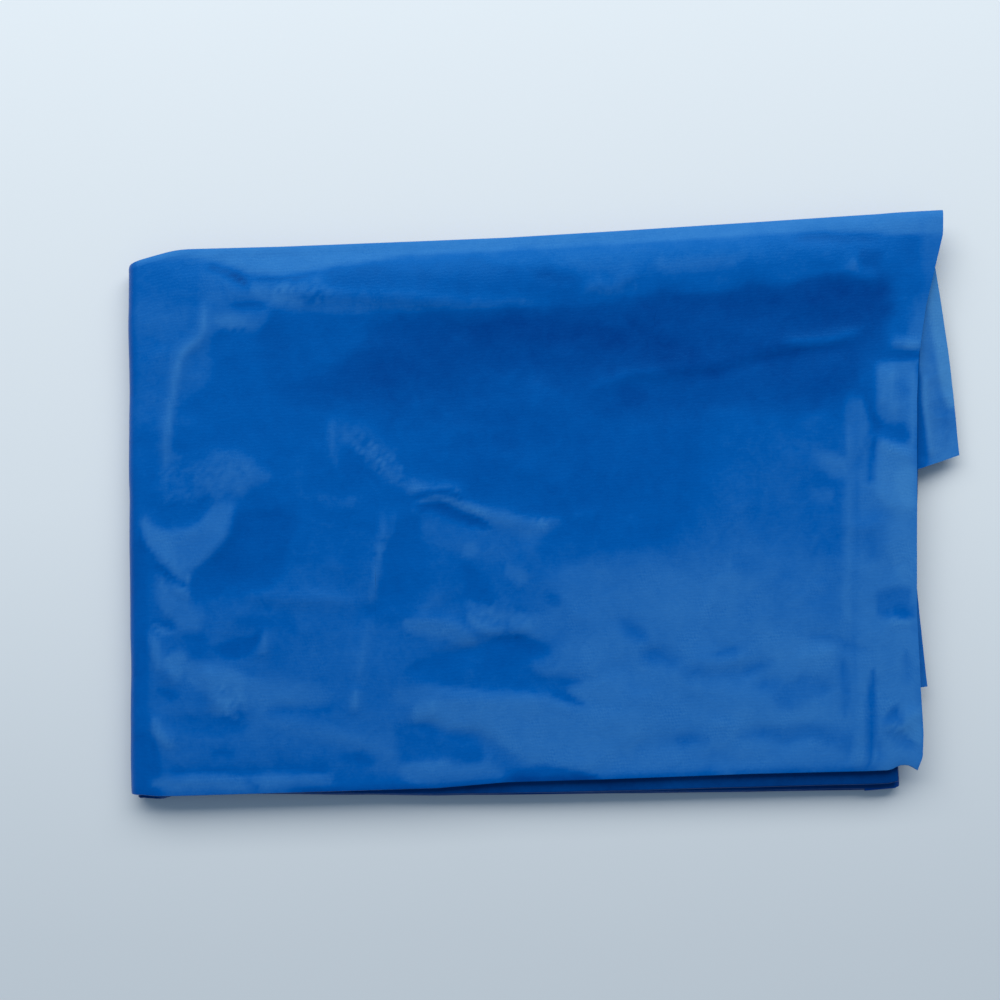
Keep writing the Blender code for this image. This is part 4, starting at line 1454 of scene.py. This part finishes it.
@dataclass(frozen=True)
class TableFinish:
    """A plain pale table top with hardly any grain, with painted shade deepening it towards the viewer, where
    the light falls off.
    """

    pale: Colour = (0.77, 0.80, 0.81)
    deep: Colour = (0.69, 0.72, 0.735)
    roughness: float = 0.75
    specular: float = 0.2
    cloud: Stir = Stir(6.0, 3.0, 0.0, 0.25)
    fade: float = 6.0

    def material(self) -> bpy.types.Material:
        """The table's material: two near colours by the distance from the viewer, the deeper one painted
        shade, stirred by noise.

        Returns:
            The material.
        """
        graph = Graph("table_top")
        place = graph.node("ShaderNodeTexCoord", {}, {}).outputs["Object"]
        parts = graph.node("ShaderNodeSeparateXYZ", {}, {0: place})
        away = Signal(graph, parts.outputs[1])
        # painted shade: the table deepens towards the viewer, where the light falls off
        paleness = graph.noise(place, self.cloud) * self.cloud.share + away * self.fade + 1.0
        graph.feed(graph.shader, {
            "Base Color": graph.mix(paleness, self.deep, self.pale),
            "Roughness": self.roughness,
            "Specular IOR Level": self.specular,
        })
        return graph.material


class Finish(Enum):
    """The film as it looks in each place, by the name of its slot."""

    SKIRT = FilmFinish("skirt_film")
    BIB = FilmFinish("bib_film", airy_and_lit=(0.052, 0.222, 0.525), roughness=0.42)
    BACK = FilmFinish("back_film", airy_and_lit=(0.052, 0.222, 0.525), roughness=0.42)
    # a darker copy of the same film: painted shade for the inner layers and the folded edges
    SHADED_INNER = FilmFinish("inner_film", cling_and_shade=(0.000, 0.016, 0.112), plain=(0.000, 0.078, 0.330))


# ---- Sub-assemblies ----


class Side(Enum):
    """A long edge of the packet."""

    NORTH = 1
    SOUTH = -1


@dataclass(frozen=True)
class Fold:
    """A fold along a long edge, in cross-section: out at one depth, half a circle, back in at another.

    Depths are those of the film's middle surface inside the strip.
    """

    shallow: float
    deep: float
    back: float = 10.0
    arc_steps: int = 9
    back_steps: int = 5
    wall: float = FILM_WALL

    @property
    def radius(self) -> float:
        """Radius of the half circle."""
        return (self.deep - self.shallow) / 2

    def section(self, side: Side) -> tuple[Array, Array]:
        """From the panel's edge round the fold to the end of the return.

        Args:
            side: the edge that the fold lies on.

        Returns:
            Shift from the packet's outline in y, and depth, of each station.
        """
        centre = self.radius + self.wall / 2
        angles = np.linspace(0.0, np.pi, self.arc_steps + 1)
        shift = -centre + self.radius * np.sin(angles)
        depth = self.shallow + self.radius * (1.0 - np.cos(angles))
        back = np.linspace(0.0, self.back, self.back_steps + 1)[1:]
        shift = np.concatenate([shift, -centre - back])
        depth = np.concatenate([depth, np.full(self.back_steps, self.deep)])
        return shift * side.value, depth


@dataclass(frozen=True)
class Stretch:
    """Part of the strip's path, with how finely it is divided."""

    start: float
    stop: float
    steps: int

    def ways(self) -> Array:
        """Evenly spaced ways, without the last."""
        return np.linspace(self.start, self.stop, self.steps + 1)[:-1]


def all_ways(stretches: Sequence[Stretch]) -> Array:
    """The ways of stretches that follow each other, with the last one's end."""
    return np.concatenate([*(stretch.ways() for stretch in stretches), [stretches[-1].stop]])


BOOK_FOLD = Fold(0.2, 2.3)
FRONT_GATE = Fold(0.2, 1.05)
BACK_GATE = Fold(1.45, 2.3)
INNER_LEGS = (
    Stretch(Leg.THIRD, Leg.INNER_FOLD, 117),
    Stretch(Leg.INNER_FOLD, Leg.SECOND, 12),
    Stretch(Leg.SECOND, Leg.END, 117),
)


@dataclass(frozen=True)
class OuterSheet:
    """The film that shows: skirt top with its hem, west wrap, bottom and the closed nose.

    Half wrap is the way halfway round the west end, past which the sheet counts as a low one.
    """

    path: Serpentine
    relief: Relief
    book: Fold = BOOK_FOLD
    gate: Fold = FRONT_GATE
    top_ways: tuple[Stretch, ...] = (Stretch(Leg.TOP, Leg.WRAP, 546), Stretch(Leg.WRAP, Leg.BOTTOM, 24))
    top_cuts: tuple[int, ...] = (189, 381)
    under_ways: tuple[Stretch, ...] = (
        Stretch(Leg.BOTTOM, Leg.NOSE, 147),
        Stretch(Leg.NOSE, Leg.THIRD, 12),
        Stretch(Leg.THIRD, 4.04, 3),
    )
    panel_steps: int = 383
    under_panel_steps: int = 83
    half_wrap: float = 1.5
    under_inset: float = 0.5
    slack: float = 0.35
    wrap_dents: Ripple = Ripple(1.2, 16.0, 33)
    under_ridges: Ripple = Ripple(0.28, 26.0, 31)
    under_waves: Ripple = Ripple(0.22, 40.0, 32)
    under_tone: float = 0.42
    under_change: Ripple = Ripple(0.08, 30.0, 41)
    rim_shade_tone: float = 0.10
    rim_ramp: Ramp = Ramp(9.0, 3.0)
    tone_fall: float = 3.0

    def section(self, panel_steps: int) -> tuple[Array, ...]:
        """The sheet's cross-section: the gate fold's return, the panel and the book fold's return.

        Args:
            panel_steps: cells across the panel.

        Returns:
            For each station its part of the width, its shift in y, its depth, and 1 on the panel only.
        """
        south_shift, south_depth = self.gate.section(Side.SOUTH)
        north_shift, north_depth = self.book.section(Side.NORTH)
        inner = np.linspace(0.0, 1.0, panel_steps + 1)[1:-1]
        part = np.concatenate([np.zeros_like(south_shift), inner, np.ones_like(north_shift)])
        between = south_shift[0] * (1.0 - inner) + north_shift[0] * inner
        shift = np.concatenate([south_shift[::-1], between, north_shift])
        level = np.full_like(inner, self.book.shallow)
        depth = np.concatenate([south_depth[::-1], level, north_depth])
        on_panel = ((part > 0.0) & (part < 1.0)).astype(float)
        return part, shift, depth, on_panel

    def surface(self, stretches: Sequence[Stretch], panel_steps: int) -> FilmGrid:
        """The sheet's middle surface: the section carried along the path, moved out by the relief.

        On the top leg the relief is the top sheet's own. Round the west wrap it dies away, with a
        few dents across the bend. On the bottom the sheet is only dented inwards, since it lies on
        the table.

        Args:
            stretches: the part of the path.
            panel_steps: cells across the panel.

        Returns:
            The grid.
        """
        way = all_ways(stretches)[:, None]
        part, shift, depth, on_panel = self.section(panel_steps)
        x, z, facing_x, facing_z = self.path.face(way, part[None, :])
        low = self.path.lowness(way)
        outline = self.relief.outline
        wrapped = ease(way - Leg.WRAP)
        top_part = 1.0 - wrapped
        south, north = outline.south(x, low), outline.north(x) - self.under_inset * wrapped
        y = south + part * (north - south) + shift
        edge = ease(np.minimum(north - y, y - south) / self.relief.edge_blend) * on_panel
        under = ease(way - self.half_wrap) * edge
        ridges, waves = self.under_ridges, self.under_waves
        dents = ridges.height + ridges.ridges(x, y) + waves.height + waves.waves(x, y)
        bend = top_part * wrapped * self.wrap_dents.waves(y, 0.0 * y)
        out = self.relief.height(x, y) * on_panel * top_part - dents * under + bend * edge
        points = np.stack([x + (out - depth) * facing_x, y, z + (out - depth) * facing_z], axis=-1)
        return FilmGrid(points, self.tone(x, y, way), self.slack * edge)

    def tone(self, x: Array, y: Array, way: Array) -> Array:
        """Top tone on the top leg, an even one elsewhere, and painted shade on the low legs' south rim, which
        the top sheet overhangs.

        Args:
            x: places along the packet.
            y: places across the packet.
            way: places along the strip.

        Returns:
            The tone at each place.
        """
        top_part = 1.0 - ease((way - Leg.WRAP) * self.tone_fall)
        elsewhere = self.under_tone + self.under_change.waves(x, y)
        rim = self.rim_ramp.at(y - self.relief.outline.south(x, self.path.lowness(way)))
        elsewhere += (self.rim_shade_tone - elsewhere) * rim * ease(way - self.half_wrap)
        return self.relief.tone(x, y) * top_part + elsewhere * (1.0 - top_part)

    def build(self, finish: bpy.types.Material) -> None:
        """Make the three top pieces and the under piece, which meet edge to edge.

        Args:
            finish: the skirt's film.
        """
        top = self.surface(self.top_ways, self.panel_steps)
        under = self.surface(self.under_ways, self.under_panel_steps)
        told = Declaration("skirt_film", ("outer_sheet",), ("hidden_layers",))
        names = ("skirt_top_east", "skirt_top_middle", "skirt_top_west")
        for name, grid in zip(names, top.split(self.top_cuts)):
            film_piece(name, grid, finish, told)
        film_piece("skirt_under", under, finish, told)


@dataclass(frozen=True)
class EdgeBand:
    """A fold of one layer along a long edge, carried along part of the strip's path."""

    name: str
    side: Side
    fold: Fold
    stretches: tuple[Stretch, ...]
    inset: float
    seed: int
    # a low tone: painted shade on the folds along the edges, under the top sheet's overhang
    tone: float = 0.22

    @property
    def wander(self) -> Ripple:
        """How its edge wanders in and out."""
        return Ripple(0.5, 38.0, self.seed)

    @property
    def mottle(self) -> Ripple:
        """How its tone changes from place to place."""
        return Ripple(0.08, 25.0, self.seed + 7)


@dataclass(frozen=True)
class FoldedEdges:
    """The inner folds that show as layers along the packet's two long edges."""

    path: Serpentine
    relief: Relief
    bands: tuple[EdgeBand, ...] = (
        EdgeBand("book_fold_inner", Side.NORTH, BOOK_FOLD, INNER_LEGS, inset=0.9, seed=51),
        EdgeBand(
            "gate_fold_back_outer", Side.SOUTH, BACK_GATE,
            (
                Stretch(0.02, Leg.WRAP, 117),
                Stretch(Leg.WRAP, Leg.BOTTOM, 12),
                Stretch(Leg.BOTTOM, Leg.NOSE, 117),
                Stretch(Leg.NOSE, Leg.THIRD, 6),
            ),
            inset=0.4, seed=52,
        ),
        EdgeBand("gate_fold_front_inner", Side.SOUTH, FRONT_GATE, INNER_LEGS, inset=0.7, seed=53),
        EdgeBand("gate_fold_back_inner", Side.SOUTH, BACK_GATE, INNER_LEGS, inset=0.4, seed=54),
    )
    wander_shift: float = 400.0
    mottle_shift: float = 100.0

    def surface(self, band: EdgeBand) -> FilmGrid:
        """The fold's cross-section carried along the path, its edge wandering a little in and out.

        Both noises are shifted from leg to leg, so that no two legs are alike.

        Args:
            band: the fold.

        Returns:
            The grid, columns running so that its outer face looks out of the packet.
        """
        way = all_ways(band.stretches)[:, None]
        shift, depth = band.fold.section(band.side)
        shallow_back = shift[band.fold.arc_steps + 1:]
        shift = np.concatenate([shallow_back[::-1], shift[:band.fold.arc_steps + 1], shallow_back])
        depth = np.concatenate([
            np.full(len(shallow_back), band.fold.shallow), depth[:band.fold.arc_steps + 1],
            np.full(len(shallow_back), band.fold.deep),
        ])
        part = np.full((1, len(shift)), 1.0 if band.side is Side.NORTH else 0.0)
        x, z, facing_x, facing_z = self.path.face(way, part)
        low = self.path.lowness(way)
        outline = self.relief.outline
        edge = outline.north(x) if band.side is Side.NORTH else outline.south(x, low)
        inset = band.inset + band.wander.waves(x + self.wander_shift * np.floor(way), 0.0 * x)
        y = edge + shift[None, :] - band.side.value * inset
        points = np.stack([x - depth * facing_x, y, z - depth * facing_z], axis=-1)
        if band.side is Side.SOUTH:
            points = points[:, ::-1]
        tone = band.tone + band.mottle.waves(x, y + self.mottle_shift * way)
        tone = tone if band.side is Side.NORTH else tone[:, ::-1]
        return FilmGrid(points, tone, np.zeros_like(tone))

    def build(self, finish: bpy.types.Material) -> None:
        """Make each band."""
        for band in self.bands:
            told = Declaration("inner_film", ("hidden_layers",))
            film_piece(band.name, self.surface(band), finish, told, skip=1)


@dataclass(frozen=True)
class Core:
    """The layers deep inside the packet, as one rounded solid that the folds lie round."""

    path: Serpentine
    relief: Relief
    inset: float = 11.0
    clearance: float = 0.95
    east_x: float = 127.0
    west_gap: float = 1.5
    rim_cells: float = 2.0
    rim_height: float = 0.4
    # a low tone: painted shade deep inside the packet
    tone: float = 0.15
    steps: tuple[int, int] = (96, 66)

    def build(self, finish: bpy.types.Material) -> None:
        """Upper and lower skins on one grid, joined round their edge.

        The upper skin follows the top sheet's relief, a little below it, and both draw together
        over the last two cells at each edge.

        Args:
            finish: the inner film.
        """
        rows, columns = self.steps
        s, t = np.meshgrid(np.linspace(0, 1, rows + 1), np.linspace(0, 1, columns + 1), indexing="ij")
        middle = self.path.top / 2
        west = self.relief.outline.west(t) + middle - self.west_gap
        x = self.east_x * (1.0 - s) + west * s
        south = self.relief.outline.south(x, np.zeros_like(x)) + self.inset
        north = self.relief.outline.north(x) - self.inset
        y = south + t * (north - south)
        to_rim = np.minimum(np.minimum(s, 1 - s) * rows, np.minimum(t, 1 - t) * columns)
        crown = ease(self.rim_height + (1.0 - self.rim_height) * to_rim / self.rim_cells)
        top = middle - self.clearance + self.relief.height(x, y)
        upper = np.stack([x, y, middle + top * crown], axis=-1).reshape(-1, 3)
        lower = np.stack([x, y, middle - (middle - self.clearance) * crown], axis=-1).reshape(-1, 3)
        index = np.arange(x.size).reshape(x.shape)
        loop = border(index)
        ahead = np.roll(loop, -1)
        rim = np.stack([loop, ahead, ahead + x.size, loop + x.size], axis=-1)
        faces = np.concatenate([cells(index), cells(index)[:, ::-1] + x.size, rim]).tolist()
        flat = np.tile(np.stack([x, y], axis=-1).reshape(-1, 2), (2, 1))
        tone = np.full(2 * x.size, self.tone)
        piece = make_object("inner_layers", np.concatenate([upper, lower]), faces, flat, tone, finish)
        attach(piece, BODY)
        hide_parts("hidden_layers")
        LOG.info("inner_layers: %d triangles", triangles(piece))


@dataclass(frozen=True)
class Corner:
    """A point in plan."""

    x: float
    y: float


@dataclass(frozen=True)
class LooseEnd:
    """An end of film under the top sheet, which may stick out past its cut edge.

    Level is its depth below the top, droop is how far it hangs at its outermost place, and bulge
    is the bow of its outer edge. It starts to hang a little before the cut edge.
    """

    name: str
    told: Declaration
    inner_south: Corner
    outer_south: Corner
    outer_north: Corner
    inner_north: Corner
    level: float
    droop: float
    bulge: float
    tone: float
    seed: int
    creases: tuple[Crease, ...] = ()
    patches: tuple[Patch, ...] = ()
    steps: tuple[int, int] = (60, 120)
    hang_before: float = 4.0
    out_ramp: Ramp = Ramp(-2.0, 1.0)

    @property
    def billow(self) -> Ripple:
        """Its own broad waves."""
        return Ripple(0.25, 14.0, self.seed)

    @property
    def wrinkle(self) -> Ripple:
        """Its own wrinkles."""
        return Ripple(0.12, 9.0, self.seed + 3)

    @property
    def mottle(self) -> Ripple:
        """How its tone changes from place to place."""
        return Ripple(0.06, 12.0, self.seed + 5)

    def plan(self, u: Array, v: Array) -> tuple[Array, Array]:
        """Place in plan: the four corners blended, with the outer edge bowed out by half a sine.

        Args:
            u: 0 at the inner edge, 1 at the outer one.
            v: 0 at the south side, 1 at the north side.

        Returns:
            x and y.
        """
        corners = [(1 - u) * (1 - v), u * (1 - v), u * v, (1 - u) * v]
        places = [self.inner_south, self.outer_south, self.outer_north, self.inner_north]
        x = sum(weight * corner.x for weight, corner in zip(corners, places))
        y = sum(weight * corner.y for weight, corner in zip(corners, places))
        return x + self.bulge * np.sin(np.pi * v) * u, y

    def surface(self, relief: Relief, path: Serpentine) -> FilmGrid:
        """The end's middle surface: under the top sheet it follows it, past the edge it hangs.

        Args:
            relief: the top sheet's relief.
            path: the strip's path, for the top level.

        Returns:
            The grid.
        """
        rows, columns = self.steps
        u, v = np.meshgrid(np.linspace(0, 1, rows + 1), np.linspace(0, 1, columns + 1), indexing="ij")
        x, y = self.plan(u, v)
        past = x - relief.outline.east_at(y)
        hang = self.droop * Ramp(-self.hang_before, np.max(past)).at(past)
        out = self.out_ramp.at(past)
        z = path.top - self.level + relief.height(x, y) * (1 - out) - hang
        right, up = relief.view.seen(x, y, z)
        own = self.billow.waves(x, y) + self.wrinkle.ridges(x, y)
        tone = self.tone + self.mottle.waves(x, y)
        for patch in self.patches:
            tone += (patch.tone - tone) * patch.cover(right, up)
        for crease in self.creases:
            profile = crease.profile(right, up)
            own += crease.height * profile
            tone += crease.tone * profile
        points = np.stack([x, y, z + own * out], axis=-1)
        return FilmGrid(points, np.clip(tone, 0.0, MOST_TONE), np.zeros_like(tone))


@dataclass(frozen=True)
class LooseEnds:
    """The bib's end in two layers, the back skirt's corner, and the ends of the sheets between."""

    path: Serpentine
    relief: Relief

    def outer_ends(self) -> tuple[LooseEnd, ...]:
        """The ends that stick out past the hem.

        Returns:
            The bib's two layers and the back skirt's corner.
        """
        bib = Declaration("bib_film", ("bib_end",), ("hidden_layers",))
        back = Declaration("back_film", ("back_skirt_end",), ("hidden_layers",))
        return (
            LooseEnd(
                "bib_upper", bib,
                Corner(113, 2), Corner(160.3, 18), Corner(149.6, 101), Corner(113, 101),
                level=1.75, droop=3.6, bulge=1.6, tone=0.72, seed=61,
                creases=FLAP_CREASES, patches=FLAP_PATCHES,
            ),
            LooseEnd(
                "bib_lower", bib,
                Corner(113, 3.5), Corner(159.4, 19), Corner(148.9, 100.5), Corner(113, 100.5),
                level=2.45, droop=3.7, bulge=1.6, tone=0.58, seed=62, creases=FLAP_CREASES,
            ),
            LooseEnd(
                "back_corner", back,
                Corner(113, -74.5), Corner(145.6, -70.2), Corner(139.8, -5), Corner(113, -5),
                level=1.95, droop=1.6, bulge=0.0, tone=0.62, seed=63, steps=(36, 81),
            ),
        )

    def inner_ends(self) -> tuple[LooseEnd, ...]:
        """The ends that stay inside.

        Returns:
            The hem's two other layers and the two of the bib's leg.
        """
        inner = Declaration("inner_film", ("hidden_layers",))
        # their tones fall with depth: painted shade inside the packet
        return (
            LooseEnd(
                "hem_layer_upper", inner,
                Corner(122.5, -86), Corner(139.6, -86.5), Corner(147.0, 94), Corner(122.5, 95),
                level=0.85, droop=0.15, bulge=-1.4, tone=0.45, seed=64, steps=(12, 90),
            ),
            LooseEnd(
                "hem_layer_lower", inner,
                Corner(122.5, -84), Corner(138.4, -85), Corner(145.0, 92), Corner(122.5, 93),
                level=1.30, droop=0.25, bulge=1.1, tone=0.38, seed=65, steps=(12, 90),
            ),
            LooseEnd(
                "bib_layer_upper", inner,
                Corner(122.5, -88), Corner(133.2, -88), Corner(137.6, 98), Corner(122.5, 99),
                level=3.25, droop=0.0, bulge=2.2, tone=0.34, seed=66, steps=(9, 90),
            ),
            LooseEnd(
                "bib_layer_lower", inner,
                Corner(122.5, -87), Corner(135.4, -86), Corner(133.8, 97), Corner(122.5, 98),
                level=4.05, droop=0.0, bulge=-1.6, tone=0.30, seed=67, steps=(9, 90),
            ),
        )

    def build(self, films: Mapping[str, bpy.types.Material]) -> None:
        """Make each end, in the film that its slot names."""
        for end in (*self.outer_ends(), *self.inner_ends()):
            film_piece(end.name, end.surface(self.relief, self.path), films[end.told.slot], end.told)


@dataclass(frozen=True)
class Studio:
    """Pale table, one large soft light from the north, an even sky, and the camera, in metres."""

    view: View
    clip: tuple[float, float] = (0.01, 20.0)
    table_size: float = 16.0
    table_gap: float = 0.0001
    light_place: tuple[float, float, float] = (-0.07, 0.98, 0.93)
    light_size: tuple[float, float] = (2.6, 0.9)
    light_power: float = 28.4
    light_colour: Colour = (0.97, 0.97, 0.955)
    sky: Colour = (0.42, 0.61, 0.84)
    sky_strength: float = 0.40

    def aim(self, item: bpy.types.Object, place: Sequence[float], target: Sequence[float]) -> None:
        """Put a camera or light somewhere and turn it to a point.

        Args:
            item: the camera or light.
            place: where it goes, in metres.
            target: the point that it looks at, in metres.
        """
        item.location = place
        away = Vector(target) - Vector(place)
        item.rotation_mode = "QUATERNION"
        item.rotation_quaternion = away.to_track_quat("-Z", "Y")
        bpy.context.scene.collection.objects.link(item)

    def build_camera(self) -> None:
        """The camera, almost straight above the packet."""
        data = bpy.data.cameras.new("camera")
        data.lens = self.view.lens
        data.clip_start, data.clip_end = self.clip
        camera = bpy.data.objects.new("camera", data)
        self.aim(camera, np.array(self.view.place) * MM, np.array(self.view.target) * MM)
        bpy.context.scene.camera = camera

    def build_light(self) -> None:
        """The soft light and the sky."""
        data = bpy.data.lights.new("window", "AREA")
        data.shape = "RECTANGLE"
        data.size, data.size_y = self.light_size
        data.energy = self.light_power
        data.color = self.light_colour
        self.aim(bpy.data.objects.new("window", data), self.light_place, (0.0, 0.0, 0.0))
        world = bpy.data.worlds.new("sky")
        world.use_nodes = True
        background = world.node_tree.nodes["Background"]
        background.inputs["Color"].default_value = (*self.sky, 1.0)
        background.inputs["Strength"].default_value = self.sky_strength
        bpy.context.scene.world = world

    def build_table(self) -> None:
        """A plain square table top just below the packet."""
        half, z = self.table_size / 2, -self.table_gap
        mesh = bpy.data.meshes.new("table")
        corners = [(-half, -half, z), (half, -half, z), (half, half, z), (-half, half, z)]
        mesh.from_pydata(corners, [], [(0, 1, 2, 3)])
        mesh.materials.append(TableFinish().material())
        table = bpy.data.objects.new("table", mesh)
        bpy.context.scene.collection.objects.link(table)

    def build(self) -> None:
        """Make all of it, and show colours as they are."""
        self.build_camera()
        self.build_light()
        self.build_table()
        bpy.context.scene.view_settings.view_transform = "Standard"


def main() -> None:
    """Build the studio and the packet, piece by piece."""
    logging.basicConfig(level=logging.INFO, format="%(message)s")
    view = View()
    Studio(view).build()
    outline = Outline()
    relief = Relief(outline, view)
    path = Serpentine(outline)
    films = {finish.value.name: finish.value.material() for finish in Finish}
    OuterSheet(path, relief).build(films[Finish.SKIRT.value.name])
    FoldedEdges(path, relief).build(films[Finish.SHADED_INNER.value.name])
    Core(path, relief).build(films[Finish.SHADED_INNER.value.name])
    LooseEnds(path, relief).build(films)


if __name__ == "__main__":
    main()
